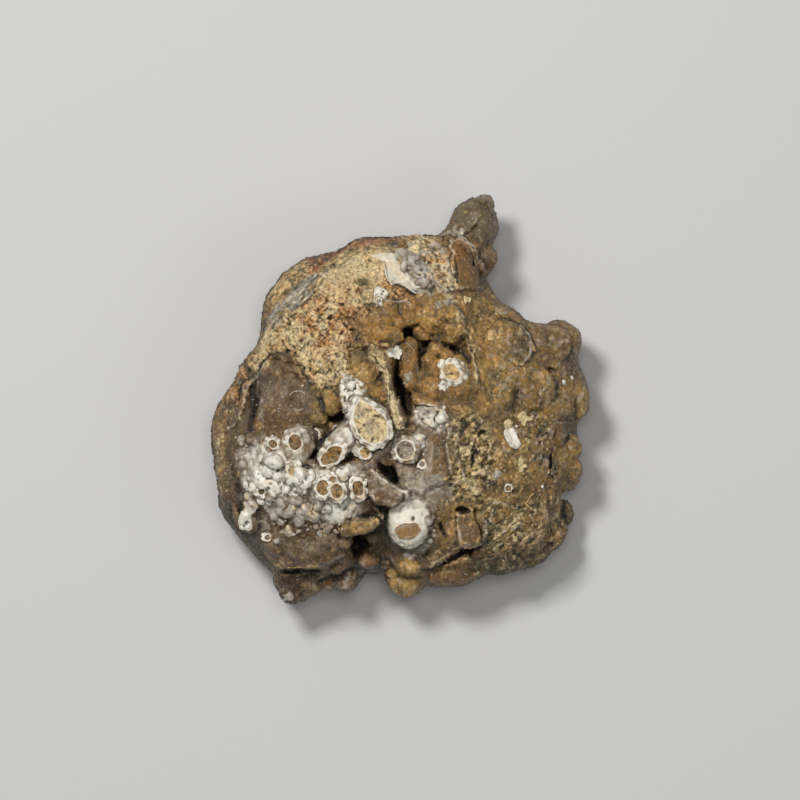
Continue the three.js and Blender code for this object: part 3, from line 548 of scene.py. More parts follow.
LUMPS: dict[str, Lump] = {
    "left dome, upper": Lump((280, 372), (4.6, 4.2, 4.0), 0.5),
    "left dome, lower": Lump((288, 412), (6.4, 5.2, 5.0), 0.5),
    "nodule by the dome 1": Lump((256, 362), (2.4, 2.0, 2.2), 0.8),
    "nodule by the dome 2": Lump((266, 356), (1.8, 1.5, 2.0), 0.8),
    "nodule by the dome 3": Lump((248, 372), (2.6, 2.6, 2.6), 0.7),
    "flank nodule 1": Lump((236, 400), (2.6, 3.4, 2.6), 0.6),
    "flank nodule 2": Lump((250, 392), (2.0, 3.0, 2.4), 0.7),
    "flank nodule 3": Lump((254, 438), (2.0, 1.8, 2.0), 0.9),
    "rough lump": Lump((331, 402), (2.6, 3.6, 3.0), 1.2, 20),
    "gap lump 1": Lump((318, 416), (2.6, 2.8, 3.0), 1.0),
    "gap lump 2": Lump((315, 440), (2.2, 2.6, 3.0), 1.0),
    "dome by the ridge, top": Lump((366, 372), (3.8, 4.2, 3.4), 0.7),
    "bead upper left": Lump((385, 314), (3.6, 4.2, 3.6), 1.2),
    "bead upper right": Lump((408, 309), (3.4, 3.2, 3.2), 1.2),
    "bead upper far": Lump((424, 300), (2.4, 2.4, 2.4), 0.9),
    "bead below": Lump((396, 322), (2.4, 2.4, 2.6), 0.7),
    "bead left of the hole": Lump((380, 334), (5.8, 2.8, 3.2), 0.9, -8),
    "roof 1": Lump((434, 318), (4.4, 4.4, 4.0), 0, 0, 0.4, 41.4),
    "roof 2": Lump((452, 326), (3.4, 4.6, 3.6), 0, 0, 0.4, 40.6),
    "roof 3": Lump((424, 328), (3.0, 3.2, 3.4), 0, 0, 0.4, 38.8),
    "roof 4": Lump((442, 336), (3.4, 2.2, 3.0), 0, 0, 0.4, 38.4),
    "pocket crown 1": Lump((436, 350), (2.2, 2.2, 2.8), 0, 0, 0.3, 39.4),
    "pocket crown 2": Lump((446, 357), (2.2, 2.2, 2.8), 0, 0, 0.3, 40.4),
    "pocket crown 3": Lump((457, 366), (2.6, 2.8, 3.2), 0, 0, 0.3, 40.6),
    "pocket crown 4": Lump((430, 362), (2.4, 2.4, 3.0), 0, 0, 0.3, 40.6),
    "pocket lump left": Lump((420, 376), (3.0, 3.6, 3.6), 0, 0, 0.3, 41.0),
    "pocket lump top": Lump((440, 372), (4.4, 3.6, 3.8), 0, 0, 0.3, 42.6),
    "pocket lump middle": Lump((438, 388), (6.6, 5.2, 5.0), 0, 0, 0.3, 43.0),
    "pocket lump right": Lump((460, 388), (3.2, 4.4, 4.4), 0, 0, 0.3, 42.2),
    "finger": Lump((407, 361), (3.5, 5.0, 4.4), 0, 6, 0.3, 42.8),
    "finger's tip": Lump((411, 381), (1.9, 2.8, 3.2), 0, 0, 0.3, 42.4),
    "finger's top": Lump((409, 346), (2.2, 2.2, 2.8), 0, 0, 0.3, 40.4),
    "white lump 1": Lump((424, 416), (1.9, 1.9, 2.2), 1.3),
    "white lump 2": Lump((433, 413), (2.0, 1.8, 2.4), 1.7),
    "white lump 3": Lump((441, 418), (1.8, 1.9, 2.2), 1.3),
    "white lump 4": Lump((430, 424), (1.8, 1.5, 2.0), 1.1),
    "rubble 1": Lump((400, 420), (1.8, 1.4, 2.0), 1.2),
    "rubble 2": Lump((409, 428), (2.0, 1.5, 2.0), 1.0),
    "olive dome": Lump((437, 462), (4.6, 6.0, 4.4), 0.6),
    "button": Lump((408, 523), (5.4, 6.2, 5.0), 0, 0, 0.9, 40.2),
    "purple swell": Lump((416, 482), (4.6, 3.2, 3.2), 0.7, -20),
    "right of the slot": Lump((408, 470), (3.0, 3.0, 3.0), 0.9),
    "beside the ring": Lump((388, 456), (2.6, 2.4, 2.6), 0.7),
    "lump of the lower right": Lump((470, 530), (4.4, 4.6, 4.0), 1.2),
    "lump by the crack": Lump((450, 526), (2.6, 4.0, 3.2), 1.0, 14),
    "lump below the button": Lump((430, 556), (4.2, 2.8, 3.2), 0.8, 30),
    "slope": Lump((456, 572), (7.0, 3.6, 3.6), 0.5, 12),
    "lower lobe": Lump((404, 582), (4.0, 4.0, 4.4), 0.9),
    "lower lobe's bead": Lump((412, 566), (2.2, 2.2, 2.6), 1.2),
    "lower lobe's side": Lump((394, 570), (2.2, 2.6, 2.8), 0.9),
    "left lobe": Lump((346, 578), (2.8, 3.8, 3.6), 1.0),
    "left lobe's neighbour": Lump((328, 580), (3.2, 3.0, 3.4), 0.9),
    "left lobe's bead": Lump((336, 566), (2.2, 2.0, 2.4), 1.0),
    "corner lobe": Lump((308, 584), (3.6, 3.4, 3.6), 0.8),
    "corner": Lump((290, 590), (3.0, 3.8, 3.4), 0.7, 10),
    "ring lump": Lump((368, 560), (2.8, 2.1, 2.8), 1.2),
    "ring lump's neighbour": Lump((386, 562), (2.0, 1.9, 2.4), 1.2),
    "mushroom": Lump((345, 541), (1.8, 1.9, 2.0), 1.3, 0, 0.2),
    "mushroom's neighbour": Lump((334, 547), (1.3, 1.4, 1.8), 1.1, 0, 0.2),
    "bead under the ledge": Lump((373, 537), (1.8, 1.6, 2.0), 1.4, 0, 0.2),
    "bulge, left": Lump((280, 540), (4.2, 4.0, 3.6), 0.7),
    "bulge, middle": Lump((306, 548), (5.0, 3.2, 3.4), 0.7),
    "bulge, right": Lump((328, 536), (4.0, 3.0, 3.2), 0.7),
    "right knob, tip": Lump((572, 340), (2.6, 3.8, 3.6), 0.6),
    "right knob, body": Lump((554, 344), (4.6, 4.6, 4.0), 0.6),
    "right knob, foot": Lump((538, 346), (2.8, 3.6, 3.0), 0.5),
    "right rim 1": Lump((578, 400), (3.0, 5.0, 3.6), 0.6),
    "right rim 2": Lump((570, 448), (3.2, 3.6, 3.4), 0.6),
    "right rim 3": Lump((572, 470), (2.8, 3.2, 3.4), 0.6),
    "right rim 4": Lump((562, 514), (3.0, 4.0, 3.4), 0.6),
    "orange patch": Lump((557, 434), (2.3, 3.2, 2.6), 0.7),
    "top knob, body": Lump((472, 222), (5.0, 4.6, 4.4), 0.4, 30),
    "top knob, tip": Lump((484, 204), (2.8, 2.6, 3.0), 0.5),
    "second top knob": Lump((486, 257), (3.2, 3.0, 3.4), 0.6),
    "sheet swell 1": Lump((500, 345), (7.0, 6.0, 4.0), 0.3, 20, 0.9),
    "sheet swell 2": Lump((526, 388), (7.4, 6.4, 4.0), 0.2, 0, 0.9),
    "sheet swell 3": Lump((496, 392), (4.6, 5.4, 3.6), 0.2, 0, 0.9),
    "rim inside left": Lump((232, 478), (3.6, 7.0, 3.6), 0.4, 6),
    "rim inside lower left": Lump((246, 516), (3.4, 4.6, 3.4), 0.4, 30),
}


@dataclass(frozen=True)
class Cut:
    """A hole or crevice: its middle, its two radii, how deep it goes below the surface there, and its turn."""

    at: Spot
    size: tuple[float, float]
    depth: float
    turn: float = 0.0
    blend: float = 0.4


CUTS: dict[str, Cut] = {
    "hole by the roof": Cut((407, 333), (1.5, 1.6), 9.0),
    "hole behind the crown": Cut((425, 345), (1.1, 1.0), 7.0),
    "hole right of the crown": Cut((453, 349), (0.9, 0.8), 5.0),
    "slot by the finger": Cut((401, 396), (1.0, 3.8), 9.0, 14),
    "crease beside the finger": Cut((419, 358), (0.6, 3.0), 3.0, 8),
    "slot under the pocket lump": Cut((422, 408), (4.4, 0.9), 4.0, -8),
    "gap under the matrix": Cut((338, 416), (2.6, 1.2), 6.0, 10),
    "gap left of the rough lump": Cut((322, 404), (0.7, 2.6), 3.0, 10),
    "gap below the dome": Cut((306, 466), (2.0, 0.9), 3.4, -20),
    "gap between the tubes": Cut((312, 452), (1.0, 1.8), 4.0),
    "gap right of the middle tube": Cut((352, 446), (0.9, 2.8), 4.0, 24),
    "slot behind the lip": Cut((390, 477), (3.4, 1.15), 8.0, -38),
    "gap by the lump": Cut((463, 510), (2.0, 0.9), 5.0, -8),
    "crack by the lump": Cut((443, 532), (0.5, 2.6), 2.6, 20),
    "hollow by the mushrooms": Cut((356, 547), (1.7, 3.0), 6.0, -10),
    "under the lower plate": Cut((362, 536), (2.6, 0.6), 1.6, 8),
    "under the bulge": Cut((296, 571), (6.0, 0.8), 3.6, 2),
    "over the slope": Cut((452, 558), (5.6, 0.7), 2.6, 28),
    "button's hole": Cut((413, 518), (0.7, 0.7), 2.0),
    "groove by the left dome": Cut((253, 392), (0.8, 5.0), 1.6, -4),
    "groove by the rim": Cut((240, 500), (0.8, 5.0), 2.4, 8),
    "groove of the mossy flank": Cut((474, 452), (0.6, 4.0), 1.4, -8),
    "gap in the mossy flank": Cut((482, 432), (1.4, 0.6), 1.6, 30),
    "gap by the right rim": Cut((551, 462), (0.7, 2.4), 2.4, 0),
    "matrix pit 1": Cut((343, 305), (0.5, 0.5), 1.8),
    "matrix pit 2": Cut((370, 261), (0.5, 0.4), 1.5),
    "matrix pit 3": Cut((318, 310), (0.5, 0.5), 1.6),
    "matrix pit 4": Cut((318, 276), (0.6, 0.4), 1.6),
    "matrix pit 5": Cut((288, 351), (0.7, 0.5), 1.8),
    "matrix pit 6": Cut((368, 352), (0.5, 0.5), 1.4),
    "matrix pit 7": Cut((357, 283), (0.7, 0.6), 1.2),
    "matrix pit 8": Cut((330, 318), (0.5, 0.5), 1.6),
    "matrix pit 9": Cut((352, 330), (0.6, 0.4), 1.4),
    "below the right knob": Cut((556, 371), (3.6, 0.6), 0.9, -14),
    "slab's crack": Cut((474, 262), (0.4, 2.4), 1.6, -16),
    "under the slab": Cut((456, 268), (0.5, 5.4), 2.2, 4),
}


@dataclass(frozen=True)
class Plate:
    """A step of the surface: an outline whose inside stands higher.

    Its edge is sharp all round, or only along its first corners, from which it then fades.
    """

    outline: tuple[Spot, ...]
    rise: float
    edge: float = 0.4
    crisp: int = 0


PLATES: dict[str, Plate] = {
    "scalloped plate": Plate(((490, 318), (497, 310), (508, 308), (517, 310), (522, 318), (524, 330), (531, 340),
        (533, 350), (528, 361), (516, 365), (500, 352), (484, 345)), 1.1, 0.4, 10),
    "plate left of the sheet": Plate(((452, 300), (461, 316), (466, 336), (469, 346), (472, 358), (477, 372),
        (479, 388), (470, 396), (462, 380), (458, 350), (448, 320)), 0.9, 0.4, 7),
    "matrix step": Plate(((300, 360), (318, 388), (346, 380), (344, 352), (360, 330), (352, 318), (326, 330),
        (306, 340)), 0.8, 0.4, 5),
    "fibrous step": Plate(((264, 322), (300, 288), (330, 264), (326, 276), (300, 306), (276, 330)), 0.7),
    "tan wedge": Plate(((424, 252), (446, 248), (455, 288), (440, 292), (428, 276)), 0.7),
    "orange slab": Plate(((450, 240), (464, 238), (476, 252), (484, 272), (482, 288), (458, 290), (453, 264)), 1.0),
    "lip": Plate(((371, 468), (379, 476), (385, 481), (395, 486), (407, 491), (412, 500), (404, 514), (380, 518),
        (352, 508), (346, 484)), 1.4, 0.35, 5),
    "curved edge": Plate(((370, 494), (374, 500), (375, 506), (379, 513), (368, 514), (358, 508), (358, 496)), 0.9,
        0.3, 4),
    "lower plate": Plate(((352, 517), (362, 520), (372, 516), (383, 512), (382, 520), (377, 528), (366, 533),
        (352, 530)), 1.0, 0.35, 6),
    "ledge": Plate(((260, 548), (265, 558), (271, 566), (282, 569), (300, 567), (318, 566), (332, 562), (346, 554),
        (340, 540), (300, 534), (262, 536)), 1.1, 0.4, 8),
    "slope's ledge": Plate(((431, 567), (440, 562), (450, 556), (462, 547), (474, 540), (470, 526), (446, 530),
        (428, 550)), 1.0, 0.4, 5),
    "left rim": Plate(((246, 372), (248, 392), (240, 418), (231, 425), (223, 433), (217, 446), (216, 470), (222, 520),
        (240, 548), (226, 544), (208, 500), (206, 440), (224, 392)), 0.7, 0.4, 9),
    "white sheet of the flank": Plate(((446, 426), (458, 436), (456, 454), (466, 480), (452, 486), (448, 450)), 0.7),
    "button": Plate(((394, 504), (404, 500), (416, 500), (424, 504), (428, 514), (427, 528), (424, 538), (414, 546),
        (402, 546), (393, 538), (388, 526), (390, 512)), 0.9, 1.2),
    "cream ridge": Plate(((371, 350), (379, 364), (385, 378), (389, 394), (391, 408), (396, 428), (404, 428),
        (400, 410), (397, 394), (394, 376), (388, 362), (380, 350)), 1.3, 0.35),
    "knob facet, left": Plate(((455, 214), (471, 198), (484, 199), (478, 222), (462, 234)), 0.9, 0.7),
    "knob facet, right": Plate(((480, 222), (487, 204), (499, 216), (494, 236), (481, 240)), 0.6, 0.7),
    "knob facet, root": Plate(((444, 236), (456, 216), (464, 234), (466, 246)), 0.5, 0.7),
    "block of the lower right": Plate(((456, 512), (476, 508), (488, 524), (482, 544), (462, 548)), 0.8),
    "second block": Plate(((494, 500), (516, 508), (522, 524), (504, 532), (490, 520)), 0.5, 0.3),
    "flank's sheet": Plate(((478, 420), (484, 432), (490, 446), (488, 462), (500, 470), (512, 450), (500, 428)), 0.8,
        0.35, 4),
    "right margin's sheet": Plate(((540, 436), (548, 452), (550, 468), (556, 482), (568, 480), (570, 450), (556, 432))
        , 0.7, 0.3, 4),
    "left shoulder's plate": Plate(((234, 374), (248, 354), (262, 346), (268, 358), (256, 378), (244, 392)), 0.7, 0.3),
    "orange patch": Plate(((550, 424), (560, 422), (566, 434), (560, 446), (551, 442)), 0.6, 0.4),
    "chip of the matrix": Plate(((304, 330), (318, 322), (326, 332), (318, 344), (306, 342)), 0.5, 0.3),
    "chip of the matrix, low": Plate(((322, 362), (336, 356), (342, 366), (334, 378), (322, 374)), 0.5, 0.3),
    "chip of the matrix, high": Plate(((346, 262), (362, 258), (368, 272), (354, 280), (344, 272)), 0.4, 0.3),
    "sheet's lower swell": Plate(((500, 376), (522, 372), (534, 392), (540, 408), (520, 412), (502, 400)), 0.6, 0.8, 4)
        ,
}


def ellipsoid(points: Array, centre: Sequence[float], radii: Sequence[float], turn: float) -> Array:
    """Measure the rough distance to an ellipsoid turned about the vertical.

    Args:
        points: Places, three coordinates along the last axis.
        centre: Its middle.
        radii: Its three radii.
        turn: Degrees anticlockwise.

    Returns:
        Distances, negative inside.
    """
    c, s = math.cos(math.radians(turn)), math.sin(math.radians(turn))
    d = points - np.asarray(centre)
    local = np.stack([d[..., 0] * c + d[..., 1] * s, -d[..., 0] * s + d[..., 1] * c, d[..., 2]], axis=-1)
    radii = np.asarray(radii)
    k0 = np.linalg.norm(local / radii, axis=-1)
    k1 = np.linalg.norm(local / radii**2, axis=-1)
    return np.where(k1 < 1e-9, -min(radii), k0 * (k0 - 1.0) / np.maximum(k1, 1e-9))


class Volume:
    """A solid as signed distances on a grid, in millimetres, negative inside."""

    def __init__(self, low: Array, field_: Array, step: float, band: float) -> None:
        """Keep the grid.

        Args:
            low: Whole-number index of its first cell.
            field_: The distances.
            step: The cells' width.
            band: The largest distance kept.
        """
        self.low, self.field, self.step, self.band = np.asarray(low), field_, step, band

    @classmethod
    def of_mesh(cls, points: Array, triangles: Array, step: float, cells: int) -> "Volume":
        """Measure a closed mesh.

        Args:
            points: Its vertices.
            triangles: Its faces.
            step: The grid's step.
            cells: How many cells the distances reach to each side.

        Returns:
            The volume.
        """
        grid = vdb.FloatGrid.createLevelSetFromPolygons(
            points.astype(np.float32), triangles=triangles.astype(np.uint32),
            transform=vdb.createLinearTransform(voxelSize=step), halfWidth=cells)
        low, high = (np.array(corner) for corner in grid.evalActiveVoxelBoundingBox())
        field_ = np.full(high - low + 1, grid.background, np.float32)
        grid.copyToArray(field_, ijk=tuple(int(v) for v in low))
        return cls(low, field_, step, float(grid.background))

    @classmethod
    def empty(cls, low: Sequence[float], high: Sequence[float], step: float, band: float) -> "Volume":
        """Make an empty grid between two corners."""
        first = np.floor(np.asarray(low) / step).astype(int)
        last = np.ceil(np.asarray(high) / step).astype(int)
        return cls(first, np.full(last - first + 1, band, np.float32), step, band)

    def join(self, centre: Sequence[float], radii: Sequence[float], turn: float, blend: float, side: int = 1) -> None:
        """Join on an ellipsoid, or cut it out.

        Args:
            centre: Its middle.
            radii: Its three radii.
            turn: Degrees anticlockwise.
            blend: How far it is blended in, in millimetres.
            side: 1 to join, -1 to cut.
        """
        room = max(radii) + 2.0 * blend + self.step * 3
        cells, axes = self.block(np.asarray(centre) - room, np.asarray(centre) + room)
        points = np.stack(np.meshgrid(*axes, indexing="ij"), axis=-1)
        if points.size == 0:
            return
        mine, other = side * self.field[cells], ellipsoid(points, centre, radii, turn)
        h = np.clip(0.5 + 0.5 * (mine - other) / blend, 0.0, 1.0)
        self.field[cells] = side * (mine * (1.0 - h) + other * h - blend * h * (1.0 - h))

    def axes(self) -> list[Array]:
        """Give the cells' places along X, Y and Z."""
        return [(np.arange(count) + base) * self.step for count, base in zip(self.field.shape, self.low)]

    def finer(self, low: Sequence[float], high: Sequence[float]) -> "Volume":
        """Give the part between two corners on a grid of half the step."""
        cells, _ = self.block(low, high)
        part = self.field[cells]
        first = np.array([c.start for c in cells]) + self.low
        for axis in range(3):
            part = np.swapaxes(part, 0, axis)
            dense = np.empty((2 * len(part) - 1, *part.shape[1:]), np.float32)
            dense[::2] = part
            dense[1::2] = 0.5 * (part[1:] + part[:-1])
            part = np.swapaxes(dense, 0, axis)
        return Volume(first * 2, part, self.step / 2.0, self.band)

    def sample(self, points: Array) -> Array:
        """Read the distances at the cells nearest to places."""
        cell = np.clip(np.round(points / self.step).astype(int) - self.low, 0, np.array(self.field.shape) - 1)
        return self.field[cell[:, 0], cell[:, 1], cell[:, 2]]

    def block(self, low: Sequence[float], high: Sequence[float]) -> tuple[tuple[slice, ...], list[Array]]:
        """Find the cells between two corners, and their places along each axis."""
        first = np.clip(np.floor(np.asarray(low) / self.step).astype(int) - self.low, 0, self.field.shape)
        last = np.clip(np.ceil(np.asarray(high) / self.step).astype(int) - self.low + 1, 0, self.field.shape)
        axes = [(np.arange(a, b) + base) * self.step for a, b, base in zip(first, last, self.low)]
        return tuple(slice(int(a), int(b)) for a, b in zip(first, last)), axes

    def soften(self, times: int) -> None:
        """Blur the distances a little, which rounds the solid's edges."""
        for _ in range(times):
            for axis in range(3):
                f = np.swapaxes(self.field, 0, axis)
                f[1:-1] = 0.25 * f[:-2] + 0.5 * f[1:-1] + 0.25 * f[2:]

    def heights(self) -> "HeightMap":
        """Read the height of the topmost surface of each column."""
        inside = self.field < 0.0
        count = self.field.shape[2]
        top = count - 1 - np.argmax(inside[:, :, ::-1], axis=2)
        found = inside.any(axis=2)
        above = np.minimum(top + 1, count - 1)
        i, j = np.indices(top.shape)
        a, b = self.field[i, j, top], self.field[i, j, above]
        height = (top + self.low[2] + np.clip(a / (a - b - 1e-9), 0.0, 1.0)) * self.step
        return HeightMap(self.low[:2], np.where(found, height, 0.0), self.step)

    def surface(self) -> tuple[Array, Array]:
        """Draw the solid's surface.

        Returns:
            Vertices, and faces of four corners that point outwards.
        """
        grid = vdb.FloatGrid(self.band)
        grid.transform = vdb.createLinearTransform(voxelSize=self.step)
        clipped = np.clip(self.field, -self.band, self.band).astype(np.float32)
        grid.copyFromArray(clipped, ijk=tuple(int(v) for v in self.low), tolerance=0.0)
        points, quads = grid.convertToQuads(0.0)
        return points.astype(float), quads.astype(np.int64)


def between(values: Array, u: Array, v: Array) -> Array:
    """Read a map between its cells.

    Args:
        values: The map, one value or one row of values to a cell.
        u: Where to read along its first axis, in cells.
        v: Where to read along its second.

    Returns:
        The values there.
    """
    u, v = (np.clip(at, 0, count - 1.001) for at, count in zip((u, v), values.shape))
    i, j = u.astype(int), v.astype(int)
    s, t = u - i, v - j
    if values.ndim == 3:
        s, t = s[..., None], t[..., None]
    return (values[i, j] * (1 - s) * (1 - t) + values[i + 1, j] * s * (1 - t)
            + values[i, j + 1] * (1 - s) * t + values[i + 1, j + 1] * s * t)


class HeightMap:
    """Heights of the stone's top, column by column."""

    def __init__(self, low: Array, height: Array, step: float) -> None:
        """Keep the map: its first column's index, its heights and its step."""
        self.low, self.height, self.step = low, height, step

    def at(self, x: Array | float, y: Array | float) -> Array:
        """Read heights at places in millimetres."""
        return between(self.height, np.asarray(x) / self.step - self.low[0], np.asarray(y) / self.step - self.low[1])


class MeshMaker:
    """Turns arrays into Blender meshes and back."""

    @staticmethod
    def build(name: str, points: Array, faces: Array) -> bpy.types.Object:
        """Make an object of a mesh.

        Args:
            name: The piece's name.
            points: Vertices in millimetres.
            faces: Faces, all of three or all of four corners.

        Returns:
            The object, linked to the scene.
        """
        mesh = bpy.data.meshes.new(name)
        corners = faces.shape[1]
        mesh.vertices.add(len(points))
        mesh.vertices.foreach_set("co", (points / 1000.0).astype(np.float32).ravel())
        mesh.loops.add(faces.size)
        mesh.loops.foreach_set("vertex_index", faces.astype(np.int32).ravel())
        mesh.polygons.add(len(faces))
        mesh.polygons.foreach_set("loop_start", np.arange(0, faces.size, corners, dtype=np.int32))
        mesh.polygons.foreach_set("use_smooth", np.ones(len(faces), bool))
        mesh.update(calc_edges=True)
        mesh.validate()
        piece = bpy.data.objects.new(name, mesh)
        bpy.context.scene.collection.objects.link(piece)
        return piece

    @staticmethod
    def points(mesh: bpy.types.Mesh) -> Array:
        """Read a mesh's vertices, in millimetres."""
        co = np.empty(len(mesh.vertices) * 3, np.float32)
        mesh.vertices.foreach_get("co", co)
        return co.reshape(-1, 3).astype(float) * 1000.0

    @staticmethod
    def triangles(mesh: bpy.types.Mesh) -> Array:
        """Read a mesh's triangles."""
        mesh.calc_loop_triangles()
        tri = np.empty(len(mesh.loop_triangles) * 3, np.int32)
        mesh.loop_triangles.foreach_get("vertices", tri)
        return tri.reshape(-1, 3).astype(np.int64)

    @staticmethod
    def paint(mesh: bpy.types.Mesh, tint: Array, traits: Array) -> None:
        """Store the colours and traits of a mesh's vertices.

        Args:
            mesh: The mesh.
            tint: Linear colours.
            traits: Grain, sugar, milk and streaks.
        """
        for name, values in (("tint", tint), ("traits", traits[:, :3])):
            layer = mesh.attributes.get(name) or mesh.attributes.new(name, "FLOAT_COLOR", "POINT")
            rgba = np.ones((len(values), 4), np.float32)
            rgba[:, :3] = values
            layer.data.foreach_set("color", rgba.ravel())

    @staticmethod
    def gather(name: str, parts: list[tuple[Array, Array, Array, Array]]) -> bpy.types.Object:
        """Make one painted piece of many small bodies.

        Args:
            name: The piece's name.
            parts: Vertices, faces, colours and traits of each body.

        Returns:
            The piece.
        """
        starts = np.cumsum([0] + [len(part[0]) for part in parts[:-1]])
        faces = np.concatenate([part[1] + start for part, start in zip(parts, starts)])
        points = np.concatenate([part[0] for part in parts])
        points[:, 2] = np.maximum(points[:, 2], 0.3)
        piece = MeshMaker.build(name, points, faces)
        MeshMaker.paint(piece.data, limited(np.concatenate([part[2] for part in parts])),
                        np.concatenate([part[3] for part in parts]))
        return piece

    @staticmethod
    def thin(piece: bpy.types.Object, keep: float, weight: Array) -> None:
        """Thin a piece's triangles, mostly where weight is high.

        Args:
            piece: The piece.
            keep: Share of its triangles that is kept.
            weight: How freely each vertex may go, from 0 to 1.
        """
        group = piece.vertex_groups.new(name="thin")
        for level in range(1, 11):
            chosen = np.nonzero(np.round(weight * 10) == level)[0]
            group.add(chosen.tolist(), level / 10.0, "REPLACE")
        modifier = piece.modifiers.new("thin", "DECIMATE")
        modifier.ratio = keep
        modifier.vertex_group = group.name
        modifier.use_collapse_triangulate = True
        MeshMaker.settle(piece)
        piece.vertex_groups.clear()

    @staticmethod
    def settle(piece: bpy.types.Object) -> None:
        """Replace a piece's mesh by what its modifiers make of it."""
        graph = bpy.context.evaluated_depsgraph_get()
        made = bpy.data.meshes.new_from_object(piece.evaluated_get(graph))
        piece.modifiers.clear()
        old = piece.data
        made.name = old.name
        piece.data = made
        bpy.data.meshes.remove(old)


def halves(quads: Array) -> Array:
    """Split faces of four corners into triangles."""
    return np.concatenate([quads[:, [0, 1, 2]], quads[:, [0, 2, 3]]])


def vertex_normals(points: Array, triangles: Array) -> Array:
    """Work out smooth normals at vertices.

    Args:
        points: Vertices.
        triangles: Faces.

    Returns:
        Unit normals.
    """
    a, b, c = (points[triangles[:, i]] for i in range(3))
    flat = np.cross(b - a, c - a)
    normals = np.zeros_like(points)
    for corner in range(3):
        for axis in range(3):
            normals[:, axis] += np.bincount(triangles[:, corner], flat[:, axis], len(points))
    return normals / np.maximum(np.linalg.norm(normals, axis=1, keepdims=True), 1e-12)


def smoothed(values: Array, triangles: Array, times: int) -> Array:
    """Average values over neighbours, several times.

    Args:
        values: One row for each vertex.
        triangles: The faces that join them.
        times: How often.

    Returns:
        The averaged values.
    """
    edges = np.concatenate([triangles[:, [0, 1]], triangles[:, [1, 2]], triangles[:, [2, 0]]])
    edges = np.concatenate([edges, edges[:, ::-1]])
    count = np.maximum(np.bincount(edges[:, 0], minlength=len(values)), 1)
    out = values.reshape(len(values), -1).astype(float)
    for _ in range(times):
        out = np.stack([np.bincount(edges[:, 0], out[edges[:, 1], k], len(values)) / count
                        for k in range(out.shape[1])], axis=1)
    return out.reshape(values.shape)


